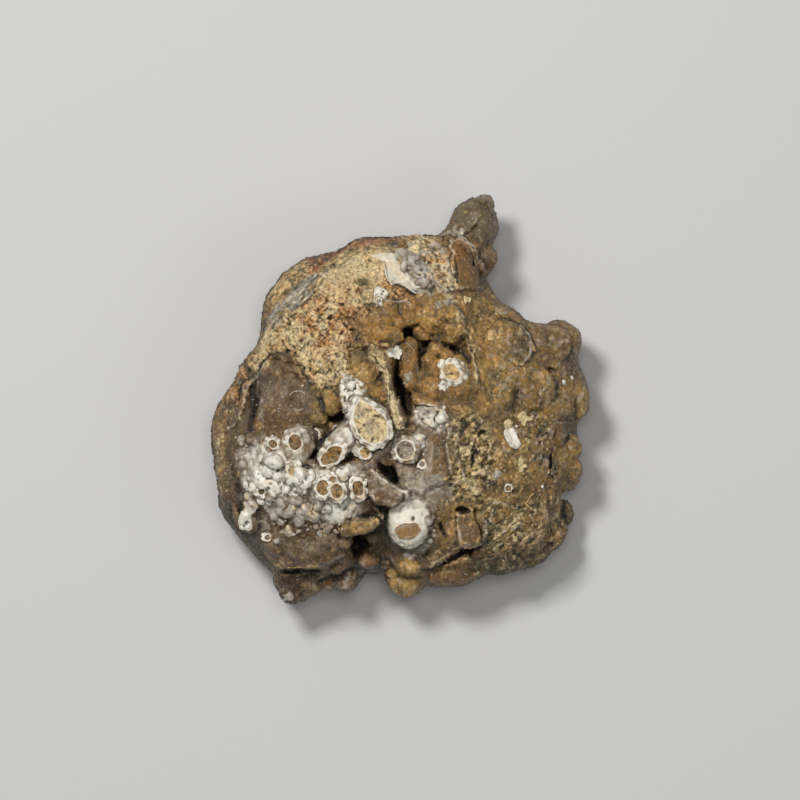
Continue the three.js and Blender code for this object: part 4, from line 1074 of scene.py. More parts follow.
class FaceMap:
    """The stone's face seen from above: its skins and its low relief, on a fine grid."""

    step = 0.2
    low = (-50.0, -54.0)
    count = (500, 541)

    def __init__(self, tops: HeightMap) -> None:
        """Lay out the grid over a stone of these heights."""
        axes = [first + np.arange(count) * self.step for first, count in zip(self.low, self.count)]
        self.x, self.y = np.meshgrid(*axes, indexing="ij")
        self.z = tops.at(self.x, self.y)
        self.points = np.stack([self.x, self.y, 0.7 * self.z], axis=-1).reshape(-1, 3)
        self.tint = np.tile(Skin.BROWN.tint, (*self.count, 1))
        self.traits = np.tile(Skin.BROWN.traits, (*self.count, 1))
        self.rise, self.rim, self.steep = (np.zeros(self.count) for _ in range(3))
        self.wide = self.tint

    def noise(self, size: float, seed: int, octaves: int = 4) -> Array:
        """Give a cloudy noise over the whole grid."""
        return Noise.cloud(self.points, size, seed, octaves).reshape(self.count)

    def cells(self, size: float, seed: int, streaked: bool = False) -> tuple[Array, Array, Array]:
        """Give scattered cells over the whole grid, or long ones that lie up to the right."""
        points = self.points + 0.45 * self.wander
        if streaked:
            c, s = math.cos(math.radians(48)), math.sin(math.radians(48))
            points = np.stack([(points[:, 0] * c + points[:, 1] * s) * 0.22, points[:, 1] * c - points[:, 0] * s,
                               points[:, 2] * 0.6], axis=1)
        return tuple(part.reshape(self.count) for part in Noise.cells(points, size, seed))

    def window(self, low: Array, high: Array) -> tuple[slice, slice]:
        """Find the part of the grid between two corners."""
        first = np.clip(((low - self.low) / self.step).astype(int), 0, self.count)
        last = np.clip(((high - self.low) / self.step).astype(int) + 2, 0, self.count)
        return slice(first[0], last[0]), slice(first[1], last[1])

    def blur(self, values: Array, size: float) -> Array:
        """Blur values of the stone over size millimetres."""
        fx = np.fft.fftfreq(self.count[0])[:, None]
        fy = np.fft.rfftfreq(self.count[1])[None, :]
        gain = np.exp(-2.0 * (math.pi * size / self.step) ** 2 * (fx**2 + fy**2))
        solid = (self.z > 1.0).astype(float)
        both = [np.fft.irfft2(np.fft.rfft2(part) * gain, self.count) for part in (values * solid, solid)]
        return both[0] / np.maximum(both[1], 0.05)

    def lay_skins(self) -> None:
        """Lay the zones' skins, each with a wandering edge."""
        wide = [2.4 * (self.noise(5.0, seed) - 0.5) + 1.3 * (self.noise(1.3, seed + 1, 2) - 0.5) for seed in (11, 13)]
        self.wander = np.stack([self.noise(1.6, seed, 3).ravel() - 0.5 for seed in (15, 16, 17)], axis=1)
        patches: dict[float, Array] = {}
        for zone in ZONES:
            cells = self.window(*zone.extent())
            if zone.size not in patches:
                patches[zone.size] = self.noise(zone.size, int(zone.size * 10) + 50, 3)
            x = self.x[cells] + wide[0][cells] * zone.warp
            y = self.y[cells] + wide[1][cells] * zone.warp
            share = zone.mask(x, y, patches[zone.size][cells])[..., None]
            self.tint[cells] += (zone.skin.tint - self.tint[cells]) * share
            self.traits[cells] += (zone.skin.traits - self.traits[cells]) * share

    def work(self) -> None:
        """Work the surface: plates with crisp edges, grains, sugar, beads and streaks, and their own tones, with
        painted shade along the cracks between grains.
        """
        grain, sugar, milk, streak = np.moveaxis(self.traits, -1, 0)
        for plate in PLATES.values():
            corners = np.array([place(s) for s in plate.outline])
            cells = self.window(corners.min(axis=0) - 3.0, corners.max(axis=0) + 3.0)
            shift = self.wander.reshape(*self.count, 3)[cells]
            x, y = self.x[cells] + 1.8 * shift[..., 0], self.y[cells] + 1.8 * shift[..., 1]
            distance = outline_distance(x, y, plate.outline)
            if plate.crisp:
                way = path_distance(x, y, plate.outline[:plate.crisp])
                inner, line = np.exp(-way / 3.0), way
            else:
                inner, line = np.exp(-np.maximum(-distance, 0.0) / 5.0), distance
            self.rise[cells] = np.maximum(self.rise[cells], plate.rise * smooth(plate.edge, 0.0, distance) * inner)
            if plate.edge < 0.6:
                self.rim[cells] = np.maximum(self.rim[cells], np.exp(-((line + 0.1) / 0.24) ** 2))
        small, crumb, chip = self.cells(0.62, 31), self.cells(1.35, 32), self.cells(3.4, 33)
        bead, long = self.cells(1.05, 34), self.cells(0.75, 35, True)
        cloud, patch, fine = self.noise(6.0, 36), self.noise(2.2, 38, 3), self.noise(0.55, 37, 2)
        plain = grain * (1.0 - 0.75 * streak)
        heights = 0.5 * (chip[2] - 0.5) + 0.45 * (crumb[2] - 0.5) + 0.28 * (small[2] - 0.5)
        crevice = smooth(0.16, 0.0, crumb[1] - crumb[0]) + 0.8 * smooth(0.1, 0.0, chip[1] - chip[0])
        self.rise += 0.8 * (cloud - 0.5)
        self.rise += plain * (heights - 0.3 * crevice + 0.5 * (fine - 0.5))
        self.rise += streak * (0.85 * (long[2] - 0.5) - 0.4 * smooth(0.2, 0.0, long[1] - long[0]))
        self.rise += sugar * (0.24 * (0.5 - bead[0]) + 0.16 * (chip[2] - 0.5) + 0.24 * (fine - 0.5)
                              + 0.4 * (patch - 0.5))
        self.rise += milk * (0.5 * (0.45 - bead[0]) + 0.3 * (fine - 0.5) + 0.4 * (patch - 0.5))
        slopes = np.gradient(self.blur(self.z, 0.5), self.step)
        self.steep = smooth(1.0, 3.0, np.hypot(*slopes))
        self.rise = self.blur(self.rise, 0.14) * (1.0 - 0.7 * self.steep)
        # painted shade: the tone darkens along the cracks between grains, which the relief also carves lower
        tone = 1.0 + plain * (0.1 - 0.35 * crevice + 0.25 * (crumb[2] - 0.5) + 0.4 * (small[2] - 0.5)
                              + 0.3 * (chip[2] - 0.5) + 1.3 * (fine - 0.5) + 0.9 * (cloud - 0.5))
        tone += streak * (1.1 * (long[2] - 0.5) + 0.5 * (small[2] - 0.5))
        tone += sugar * (0.24 * (small[2] - 0.5) + 0.2 * (chip[2] - 0.5) + 1.0 * (cloud - 0.5)
                         + 0.8 * (patch - 0.5) + 0.7 * (fine - 0.5))
        tone += milk * (0.16 * (bead[2] - 0.5) + 0.6 * (fine - 0.5) + 0.4 * (patch - 0.5))
        for skin, share in (
                (Skin.OCHRE, 0.45 * plain * smooth(0.5, 0.64, patch)),
                (Skin.FIBRE, 0.3 * plain * smooth(0.44, 0.3, patch)),
                (Skin.DEEP, 0.6 * sugar * smooth(0.47, 0.34, patch)),
                (Skin.OLIVE, 0.4 * sugar * smooth(0.44, 0.32, cloud)),
                (Skin.PURPLE, 0.4 * milk * smooth(0.5, 0.36, patch)),
                (Skin.CREAM, 0.35 * plain * smooth(0.88, 0.92, small[2])),
                (Skin.UMBER, 0.5 * plain * smooth(0.12, 0.07, small[2])),
                (Skin.TAN, 0.45 * sugar * smooth(0.93, 0.96, small[2])),
                (Skin.UMBER, 0.4 * sugar * smooth(0.07, 0.04, small[2])),
                (Skin.LILAC, 0.75 * self.rim * smooth(0.34, 0.5, self.noise(1.1, 39, 2)))):
            self.tint += (skin.tint - self.tint) * share[..., None]
        self.tint *= np.clip(tone, 0.25, 1.9)[..., None]

    def paint_hollow_shade_and_edge_highlights(self) -> None:
        """Paint shade into the hollows, fine, middle and broad, and paint highlights on the edges, mixed with a little
        of the pale lilac frost that ridges have.
        """
        height = self.z + self.rise
        near, middle, far = (height - self.blur(height, size) for size in (0.4, 1.3, 4.5))
        # painted shade: the tint darkens where the surface lies below its blurred self, in fine, middle and broad
        # hollows
        shade = 1.0 - 0.56 * smooth(-0.02, -0.26, near) - 0.42 * smooth(-0.12, -1.2, middle)
        shade *= 1.0 - 0.3 * smooth(-1.4, -5.5, far)
        shade = 1.0 - (1.0 - shade) * (1.0 - 0.6 * self.traits[..., 2])
        self.tint *= np.clip(shade, 0.1, 1.0)[..., None]
        # painted highlight on raised edges, with a touch of pale lilac frost mixed in
        share = 0.3 * smooth(0.05, 0.26, near) + 0.16 * smooth(0.15, 1.0, middle)
        highlight_and_frost = 0.87 * self.tint * 1.5 + 0.13 * Skin.LILAC.tint
        self.tint += (highlight_and_frost - self.tint) * share[..., None]
        self.wide = np.stack([self.blur(self.tint[..., k], 2.0) for k in range(3)], axis=-1)

    def refresh(self) -> None:
        """Lay the clean, pale skins once more over the ones with painted shade and highlights."""
        level = (0.72 + 0.5 * self.noise(0.9, 19, 3))[..., None]
        for zone in ZONES:
            if zone.over:
                cells = self.window(*zone.extent())
                shift = self.wander.reshape(*self.count, 3)[cells] * 2.4 * zone.warp
                patch = self.noise(1.3, 20, 3)[cells]
                share = zone.mask(self.x[cells] + shift[..., 0], self.y[cells] + shift[..., 1], patch)[..., None]
                self.tint[cells] += (zone.skin.tint * level[cells] - self.tint[cells]) * share * zone.over

    def at(self, values: Array, points: Array) -> Array:
        """Read a map at places in millimetres."""
        return between(values, *((points[..., axis] - self.low[axis]) / self.step for axis in (0, 1)))

    def height(self, x: float, y: float) -> float:
        """Read the worked surface's height at a place."""
        return float(self.at(self.z + self.rise, np.array([[x, y, 0.0]]))[0])


def crust(points: Array) -> tuple[Array, Array]:
    """Work out the mottled crust that the flanks and the back have.

    Args:
        points: Places in millimetres.

    Returns:
        Linear colours, and grain, sugar, milk and streaks.
    """
    tint = np.tile(Skin.BULGE.tint, (len(points), 1))
    traits = np.tile(Skin.BULGE.traits, (len(points), 1))
    for skin, size, seed, edge in ((Skin.BROWN, 14.0, 21, 0.48), (Skin.TAN, 9.0, 22, 0.58),
                                   (Skin.GOLD, 8.0, 23, 0.58), (Skin.OLIVE, 7.0, 24, 0.56),
                                   (Skin.CREAM, 4.0, 25, 0.66), (Skin.OCHRE, 6.0, 26, 0.62)):
        share = smooth(edge - 0.04, edge + 0.05, Noise.cloud(points, size, seed))[:, None] * 0.8
        tint = tint + (skin.tint - tint) * share
        traits = traits + (skin.traits - traits) * share
    own = Noise.cells(points + 0.5 * (Noise.cloud(points, 1.6, 27)[:, None] - 0.5), 1.1, 28)[2]
    return tint * (0.46, 0.44, 0.36) * (1.0 + 0.9 * own)[:, None], traits


@dataclass(frozen=True)
class Region:
    """A part of the face that is drawn finely.

    It has an outline, a lift over its neighbours, the most triangles it may have, and how deep it reaches.
    """

    name: str
    outline: tuple[Spot, ...]
    lift: float
    most: int
    reach: float = 9.0


REGIONS = (
    Region("sugary_sheet", ((425, 150), (640, 150), (640, 500), (560, 490), (500, 500), (488, 440), (448, 416),
                            (470, 400), (470, 340), (452, 300), (440, 296), (452, 262), (440, 230)), 0.0,
           145_000),
    Region("lower_growth", ((150, 330), (262, 352), (300, 380), (346, 372), (380, 345), (396, 400), (430, 420),
                            (462, 416), (466, 470), (470, 505), (490, 560), (500, 660), (150, 660)), 0.06,
           192_000),
    Region("granular_crust", ((150, 150), (432, 150), (444, 236), (456, 262), (460, 300), (420, 306), (392, 318),
                              (372, 345), (350, 352), (348, 386), (316, 392), (300, 366), (262, 356),
                              (200, 380)), 0.12, 125_000),
    Region("mossy_crust", ((444, 408), (476, 412), (500, 430), (560, 424), (566, 470), (560, 500), (650, 500),
                           (650, 650), (468, 650), (478, 560), (486, 512), (456, 500), (450, 450)), 0.18,
           95_000),
    Region("pocket_lumps", ((376, 302), (400, 296), (440, 294), (462, 302), (474, 330), (480, 396), (458, 412),
                            (412, 414), (396, 404), (402, 350), (372, 346)), 0.24, 72_000, 14.0),
)


@dataclass
class Nodule:
    """The stone itself, refined from its plain solid: domes and holes, then a body and finely drawn regions."""

    step: float = 0.46
    softening: int = 5
    body_share: float = 0.5  # of the triangles that the grid gives
    body_most: int = 88_000
    sunk: float = 1.8  # how far a region's own surface starts below the stone's
    volume: Volume = field(init=False)
    face: FaceMap = field(init=False)

    def sculpt(self) -> None:
        """Measure the plain solid, soften it, join the lumps, cut the holes and work the face."""
        source = bpy.data.objects[NODE].data
        self.volume = Volume.of_mesh(MeshMaker.points(source), MeshMaker.triangles(source), self.step, 9)
        self.volume.soften(self.softening)
        tops = self.volume.heights()
        for lump in LUMPS.values():
            x, y = place(lump.at)
            top = lump.level if lump.level is not None else float(tops.at(x, y)) + lump.proud
            self.volume.join((x, y, top - lump.size[2]), lump.size, lump.turn, lump.blend)
        tops = self.volume.heights()
        for cut in CUTS.values():
            x, y = place(cut.at)
            self.volume.join((x, y, float(tops.at(x, y))), (*cut.size, cut.depth), cut.turn, cut.blend, -1)
        self.face = FaceMap(self.volume.heights())
        self.face.lay_skins()
        self.face.work()
        self.face.paint_hollow_shade_and_edge_highlights()
        self.face.refresh()
        for stub in STUBS.values():
            cells = self.face.window(*(np.array(place(stub.middle)) + side * 9.0 for side in (-1, 1)))
            distance = outline_distance(self.face.x[cells], self.face.y[cells], stub.body)
            self.face.rise[cells] -= 1.3 * smooth(0.6, -0.4, distance)

    def finished(self, name: str, points: Array, quads: Array, keep_share: Callable[[Array, Array], Array],
                 share: float, most: int) -> bpy.types.Object:
        """Roughen, thin and paint a mesh, with painted shade in its hollows and painted highlights on its bumps.

        Args:
            name: The piece's name.
            points: Its vertices.
            quads: Its faces.
            keep_share: Gives how freely each vertex may go, from points and normals.
            share: Share of the triangles that is kept.
            most: The most triangles that it may keep.

        Returns:
            The piece.
        """
        triangles = halves(quads)
        normals = vertex_normals(points, triangles)
        weight = keep_share(points, normals)
        grain = self.face.at(self.face.traits, points)[:, 0]
        steep = smooth(0.75, 0.35, normals[:, 2])
        crumbs = 0.6 - Noise.cells(points, 1.15, 47)[0]
        knobs = 0.6 - Noise.cells(points, 4.4, 48)[0]
        lift = 0.22 * (Noise.cloud(points, 0.9, 49, 2) - 0.5) * (0.6 + grain) + steep * (0.45 * crumbs + 0.5 * knobs)
        points = points + normals * (lift * smooth(0.4, 2.4, points[:, 2]))[:, None]
        points[:, 2] = np.maximum(points[:, 2], 0.0)
        piece = MeshMaker.build(name, points, quads)
        MeshMaker.thin(piece, min(share, most / len(triangles)), weight)
        points, triangles = MeshMaker.points(piece.data), MeshMaker.triangles(piece.data)
        points[:, 2] = np.maximum(points[:, 2], 0.0)
        piece.data.vertices.foreach_set("co", (points / 1000.0).astype(np.float32).ravel())
        normals = vertex_normals(points, triangles)
        tint, traits = self.face.at(self.face.tint, points), self.face.at(self.face.traits, points)
        side, side_traits = crust(points)
        near = smooth(12.0, 5.0, self.face.at(self.face.z, points) - points[:, 2])[:, None] * 0.55
        side = side + (self.face.at(self.face.wide, points) * 0.8 - side) * near
        share_ = smooth(0.35, 0.0, normals[:, 2])[:, None]
        tint, traits = tint + (side - tint) * share_, traits + (side_traits - traits) * share_
        # painted shade in the mesh's hollows and painted highlight on its bumps
        hollow = np.einsum("ij,ij->i", smoothed(points, triangles, 3) - points, normals)
        tint = tint * (1.0 - 0.5 * smooth(0.005, 0.13, hollow))[:, None]
        tint = tint + (tint * 0.7 + 0.01) * (0.4 * smooth(0.005, 0.11, -hollow))[:, None]
        MeshMaker.paint(piece.data, limited(tint), traits)
        return piece

    def body(self) -> bpy.types.Object:
        """Make the whole stone, coarse below the finely drawn face."""
        x, y, z = self.volume.axes()
        floor = self.face.at(self.face.z, np.stack(np.meshgrid(x, y, indexing="ij"), axis=-1)) - REGIONS[0].reach
        sunk = smooth(0.0, 3.0, z[None, None, :] - floor[:, :, None])
        body = Volume(self.volume.low, (self.volume.field + 0.35 + 1.0 * sunk).astype(np.float32), self.step,
                      self.volume.band)
        points, quads = body.surface()

        def weight(points_: Array, normals: Array) -> Array:
            """Let the covered face go first."""
            covered = smooth(1.0, 3.0, points_[:, 2] - self.face.at(self.face.z, points_) + REGIONS[0].reach)
            return 0.25 + 0.75 * covered

        return self.finished("stone_body", points, quads, weight, self.body_share, self.body_most)

    def shell(self, region: Region) -> bpy.types.Object:
        """Draw one region of the face finely, as a closed shell set into the body.

        Args:
            region: The region.

        Returns:
            The piece.
        """
        corners = np.array([place(s) for s in region.outline])
        fine = self.volume.finer((*(corners.min(axis=0) - 4.0), 0.0), (*(corners.max(axis=0) + 4.0), 60.0))
        x, y, z = fine.axes()
        plan = np.stack(np.meshgrid(x, y, indexing="ij"), axis=-1)
        wander = self.face.at(self.face.wander.reshape(*self.face.count, 3), plan)
        distance = outline_distance(plan[..., 0] + 2.0 * wander[..., 0], plan[..., 1] + 2.0 * wander[..., 1],
                                    region.outline)
        cover = smooth(0.5, -0.5, distance)
        floor = self.face.at(self.face.z, plan) - region.reach
        above = z[None, None, :] - floor[:, :, None]
        lift = (region.lift + self.face.at(self.face.rise, plan) - 0.25 + self.sunk)[:, :, None]
        shell = fine.field + self.sunk - lift * cover[:, :, None] * smooth(0.0, 3.0, above)
        shell = np.maximum(shell, -fine.field - 2.6)
        shell = np.maximum(shell, (distance - 1.6)[:, :, None])
        shell = np.maximum(shell, -above).astype(np.float32)
        points, quads = Volume(fine.low, shell, fine.step, 1.5).surface()
        inner = fine.sample(points)

        def weight(points_: Array, normals: Array) -> Array:
            """Let the hidden underside go first."""
            return 0.12 + 0.88 * smooth(-0.9, -1.4, inner)

        hidden = float((inner < -1.2).mean())
        return self.finished(region.name, points, quads, weight, 0.04 + 0.84 * (1.0 - hidden), region.most)


def closed(body: Array, around: int, tint: Array, traits: Array) -> tuple[Array, Array, Array, Array]:
    """Close stacked rings into a small body, with a last vertex in the middle of each end.

    Args:
        body: The rings' vertices, ring by ring.
        around: How many vertices a ring has.
        tint: Their colours.
        traits: Their traits.

    Returns:
        Vertices, triangles, colours and traits.
    """
    k = np.arange(around)
    following = (k + 1) % around
    last = len(body) - around
    faces = []
    for low in range(0, last, around):
        high = low + around
        faces += [np.stack([low + k, low + following, high + following], axis=1),
                  np.stack([low + k, high + following, high + k], axis=1)]
    faces.append(np.stack([following, k, np.full(around, len(body))], axis=1))
    faces.append(np.stack([last + k, last + following, np.full(around, len(body) + 1)], axis=1))
    ends = np.array([body[:around].mean(axis=0), body[-around:].mean(axis=0)])
    return (np.concatenate([body, ends]), np.concatenate(faces), np.concatenate([tint, tint[[0, -1]]]),
            np.concatenate([traits, traits[[0, -1]]]))


def reach(outline: Sequence[Spot], middle: Spot, turns: Array) -> Array:
    """Measure how far an outline lies from its middle in each direction, in millimetres."""
    arms = np.array([place(s) for s in outline]) - np.array(place(middle))
    radius = np.interp(turns, np.arctan2(arms[:, 1], arms[:, 0]), np.hypot(arms[:, 0], arms[:, 1]),
                       period=2.0 * math.pi)
    kernel = np.array([1.0, 2.0, 3.0, 2.0, 1.0]) / 9.0
    return sum(np.roll(radius, shift - 2) * weight for shift, weight in enumerate(kernel))


@dataclass(frozen=True)
class Stub:
    """A broken stalactite seen end on: the outline of its body, that of its core, and what they are made of."""

    body: tuple[Spot, ...]
    core: tuple[Spot, ...]
    core_skin: Skin = Skin.CORE
    wall_skin: Skin = Skin.MILK
    proud: float = 0.5
    root: tuple[float, float] = (0.0, 0.0)
    slope: tuple[float, float] = (0.0, 0.0)
    dip: float = 0.35
    rim: float = 0.3

    @property
    def middle(self) -> Spot:
        """The core's middle, as a spot."""
        return tuple(float(v) for v in np.mean(self.core, axis=0))

    @classmethod
    def ring(cls, at: Spot, body: float, core: float, **others: object) -> "Stub":
        """Make a round stub from its middle and two radii, in the reference view's units."""
        turns = np.linspace(0.0, 2.0 * math.pi, 10, endpoint=False)
        outlines = [tuple((at[0] + r * math.cos(t), at[1] + r * math.sin(t)) for t in turns) for r in (body, core)]
        return cls(outlines[0], outlines[1], **others)


STUBS: dict[str, Stub] = {
    "large core": Stub(((355, 396), (366, 399), (379, 407), (392, 426), (391, 440), (382, 448), (370, 449), (360, 440),
        (352, 426), (351, 408)), ((358, 400), (366, 403), (377, 411), (388, 428), (387, 437), (379, 443), (371, 444),
        (363, 437), (356, 425), (355, 410)), Skin.LARGE_CORE, Skin.MILK, 0.0, (-0.6, 1.4), (0.0, 0.04), 0.2, 0.28),
    "left tube": Stub(((286, 431), (297, 428), (309, 433), (313, 445), (309, 457), (299, 464), (288, 460), (284, 446)),
        ((292, 435), (299, 435), (302, 441), (300, 448), (294, 450), (290, 444)), Skin.CORE, Skin.LILAC, 0.6,
        (1.2, 1.6), (0.0, 0.25), 0.4, 0.25),
    "middle tube": Stub(((317, 461), (322, 449), (331, 438), (342, 428), (351, 430), (352, 440), (345, 453),
        (335, 463), (324, 468)), ((321, 461), (327, 452), (337, 446), (343, 447), (340, 455), (330, 463), (324, 465))
        , Skin.WARM, Skin.MILK, 0.6, (3.0, 3.6), (0.25, 0.3), 0.5, 0.3),
    "thin tube": Stub(((348, 434), (356, 430), (364, 438), (372, 451), (369, 460), (360, 457), (352, 447)), (
        (361, 449), (367, 447), (370, 453), (366, 458), (361, 455)), Skin.TAN, Skin.LILAC, 0.4, (-1.6, 2.2),
        (-0.1, 0.3), 0.4, 0.25),
    "round ring": Stub(((392, 446), (396, 439), (404, 435), (413, 438), (419, 446), (419, 455), (412, 462), (403, 463),
        (395, 459)), ((397, 446), (403, 441), (410, 442), (414, 448), (413, 455), (408, 459), (401, 458), (397, 453))
        , Skin.PURPLE, Skin.LILAC, 0.7, (0.0, 0.6), (0.0, 0.1), 0.5, 0.3),
    "twin left": Stub(((315, 480), (322, 476), (330, 480), (332, 490), (328, 498), (320, 499), (314, 492)), (
        (318, 483), (324, 479), (329, 484), (329, 491), (325, 495), (318, 491)), Skin.WARM, Skin.MILK, 0.7, (0.4, 0.4))
        ,
    "twin right": Stub(((329, 484), (338, 480), (346, 486), (346, 497), (338, 502), (330, 498)), ((332, 486),
        (338, 483), (343, 488), (342, 495), (337, 498), (332, 493)), Skin.WARM, Skin.MILK, 0.9, (-0.2, 0.4)),
    "twin upper": Stub(((326, 476), (333, 472), (340, 476), (339, 483), (331, 485), (327, 481)), ((330, 477),
        (335, 476), (337, 480), (331, 482)), Skin.WARM, Skin.MILK, 1.1),
    "square tube": Stub(((351, 478), (358, 476), (366, 478), (367, 488), (367, 498), (353, 500), (350, 489)), (
        (354, 482), (362, 481), (363, 488), (363, 494), (355, 495), (353, 488)), Skin.CORE, Skin.MILK, 0.8,
        (-0.2, 0.8), (0.0, 0.15), 0.6),
    "leftmost tube": Stub(((266, 438), (274, 435), (281, 440), (281, 449), (273, 452), (266, 447)), ((270, 441),
        (275, 440), (278, 444), (274, 448), (270, 446)), Skin.CORE, Skin.LILAC, 0.5),
    "tiny ring": Stub.ring((422, 464), 5.0, 2.6, core_skin=Skin.PURPLE, wall_skin=Skin.LILAC, proud=0.4),
    "bud with a core": Stub.ring((293, 471), 8.0, 4.4, core_skin=Skin.TAN, proud=1.0),
    "bud with a core, left": Stub.ring((262, 491), 6.6, 3.4, core_skin=Skin.OLIVE, proud=0.9),
    "low ring": Stub.ring((268, 537), 5.0, 2.8, core_skin=Skin.DOME, wall_skin=Skin.LILAC, proud=0.5),
    "right ring": Stub.ring((508, 488), 5.0, 3.2, core_skin=Skin.BROWN, proud=0.2, wall_skin=Skin.LILAC),
    "ring beside the left tube": Stub.ring((316, 433), 6.6, 3.0, core_skin=Skin.DOME, wall_skin=Skin.DOME, proud=0.3),
    "ring on the pocket lump": Stub(((437, 363), (445, 360), (455, 359), (464, 365), (468, 377), (461, 387),
        (447, 387), (438, 377)), ((443, 366), (450, 364), (457, 369), (460, 377), (452, 380), (444, 374)), Skin.TAN,
        Skin.MILK, 0.3, (0.0, 0.0), (0.0, 0.0), 0.15, 0.35),
    "ring under the pool": Stub.ring((379, 302), 5.4, 2.2, core_skin=Skin.LILAC, wall_skin=Skin.LILAC, proud=0.5),
}


@dataclass
class StubCluster:
    """All the broken stalactites, as one piece of closed stubs that stand on the face."""

    face: FaceMap
    around: int = 52
    depth: float = 5.5

    def make(self, index: int, stub: Stub) -> tuple[Array, Array, Array, Array]:
        """Make one stub.

        Args:
            index: Its number, which seeds its unevenness.
            stub: Its sizes.

        Returns:
            Vertices, faces, colours and traits.
        """
        n = self.around
        turns = np.linspace(-math.pi, math.pi, n, endpoint=False)
        middle = np.array(place(stub.middle))
        centre = np.mean([place(s) for s in stub.body], axis=0)
        inner = reach(stub.core, stub.middle, turns)
        outer = np.maximum(reach(stub.body, stub.middle, turns), inner + 0.3)
        drop = 0.5 * (outer - inner - 0.3)
        ways = np.stack([np.cos(turns), np.sin(turns)], axis=1)
        rings, kinds, waists = [], [], []

        def ring(radius: Array, height: Array | float, kind: int, waist: float = 0.0) -> None:
            """Add a ring of points about the core's middle."""
            rings.append(np.column_stack([middle + ways * radius[:, None], np.broadcast_to(height, n)]))
            kinds.append(kind)
            waists.append(waist)

        for deep in (self.depth, 4.4, 3.4, 2.5, 1.7, 1.0, 0.5, 0.2):
            ring(outer * (1.0 + 0.02 * deep), -drop - deep, 0, deep)
        ring_at = np.column_stack([middle + ways * inner[:, None], np.full(n, 7.0 * index)])
        rim_width = stub.rim * (0.5 + 4.5 * np.clip(Noise.cloud(ring_at, 1.6, 210 + index, 2) - 0.36, 0.0, 0.5))
        wall_width = np.maximum(outer - inner - rim_width, 0.05)
        for w in (0.92, 0.74, 0.54, 0.34, 0.15):
            ring(inner + rim_width + wall_width * w, -0.2 - drop * w**1.7, 0)
        ring(inner + rim_width * 0.9, -0.12, 1)
        ring(inner + rim_width * 0.4, 0.0, 1)
        ring(inner, -0.06, 1)
        ring(inner * 0.94, -0.75 * stub.dip, 2)
        for share in (0.86, 0.76, 0.66, 0.56, 0.45, 0.34, 0.22, 0.1):
            ring(inner * share, -stub.dip, 2)
        body = np.concatenate(rings)
        kind = np.repeat(kinds, n)
        waist = np.repeat(waists, n)
        body[:, :2] += np.outer(waist, stub.root) / self.depth
        lowest = self.face.height(*centre) + 1.3
        body[:, 2] += lowest + stub.proud + (body[:, :2] - centre) @ np.array(stub.slope)
        normals_out = np.concatenate([np.tile(ways, (len(rings), 1)), np.zeros((len(body), 1))], axis=1)
        beads = 0.5 - Noise.cells(body, 1.25, 60 + index)[0]
        wobble = Noise.cloud(body, 1.5, 90 + index, 3) - 0.5
        crumbs, _, own = Noise.cells(body + 0.3 * wobble[:, None], 0.7, 120 + index)
        fine = Noise.cloud(body, 0.6, 150 + index, 2) - 0.5
        out = np.where(kind == 0, 0.8 * beads + 0.9 * wobble + 0.3 * fine, np.where(kind == 1, 0.5 * wobble, 0.0))
        body += normals_out * out[:, None]
        body[:, 2] += np.where(kind == 2, 0.5 * (own - 0.5) + 0.3 * wobble + 0.2 * fine,
                               np.where(kind == 1, 0.9 * wobble + 0.3 * fine, 0.45 * beads + 0.3 * wobble))
        patch = Noise.cloud(body, 1.9, 180 + index, 3)
        wall = np.tile(stub.wall_skin.tint, (len(body), 1))
        for skin, share in ((Skin.LILAC, 0.8 * smooth(0.5, 0.6, patch)), (Skin.MILK, 0.6 * smooth(0.47, 0.38, patch)),
                            (Skin.BROWN, 0.7 * smooth(0.05, 0.2, 0.5 - beads - 0.5 * wobble - 0.45)),
                            (Skin.PURPLE, 0.85 * smooth(0.3, 2.6, waist))):
            wall = wall + (skin.tint - wall) * share[:, None]
        wall = wall * np.clip(0.92 + 0.7 * wobble + 0.6 * beads + 0.8 * fine, 0.3, 1.15)[:, None]
        # painted shade: the wall darkens lower down, towards where it meets the face
        wall *= (1.0 - 0.6 * smooth(1.5, 4.0, waist))[:, None]
        rim = Skin.MILK.tint * np.clip(0.95 + 0.5 * wobble + 0.6 * fine, 0.6, 1.1)[:, None]
        worn = smooth(0.54, 0.64, patch)[:, None] * 0.6
        rim = rim + (Skin.TAN.tint - rim) * worn
        core = stub.core_skin.tint * (0.5 + 0.8 * own + 0.9 * fine)[:, None]
        core = core + (Skin.UMBER.tint - core) * (smooth(0.16, 0.1, own) * 0.8)[:, None]
        core = core + (Skin.FIBRE.tint - core) * (smooth(0.52, 0.6, patch) * 0.4)[:, None]
        tint = np.where((kind == 2)[:, None], core, np.where((kind == 1)[:, None], rim, wall))
        traits = np.where((kind == 2)[:, None], stub.core_skin.traits, stub.wall_skin.traits)
        return closed(body, n, tint, traits)

    def build(self) -> bpy.types.Object:
        """Make the piece."""
        return MeshMaker.gather("stalactites", [self.make(i, stub) for i, stub in enumerate(STUBS.values())])


@dataclass(frozen=True)
class Chip:
    """A thin flake that lies on the stone: its outline, its thickness and its skin."""

    outline: tuple[Spot, ...]
    thick: float = 0.5
    skin: Skin = Skin.MILK


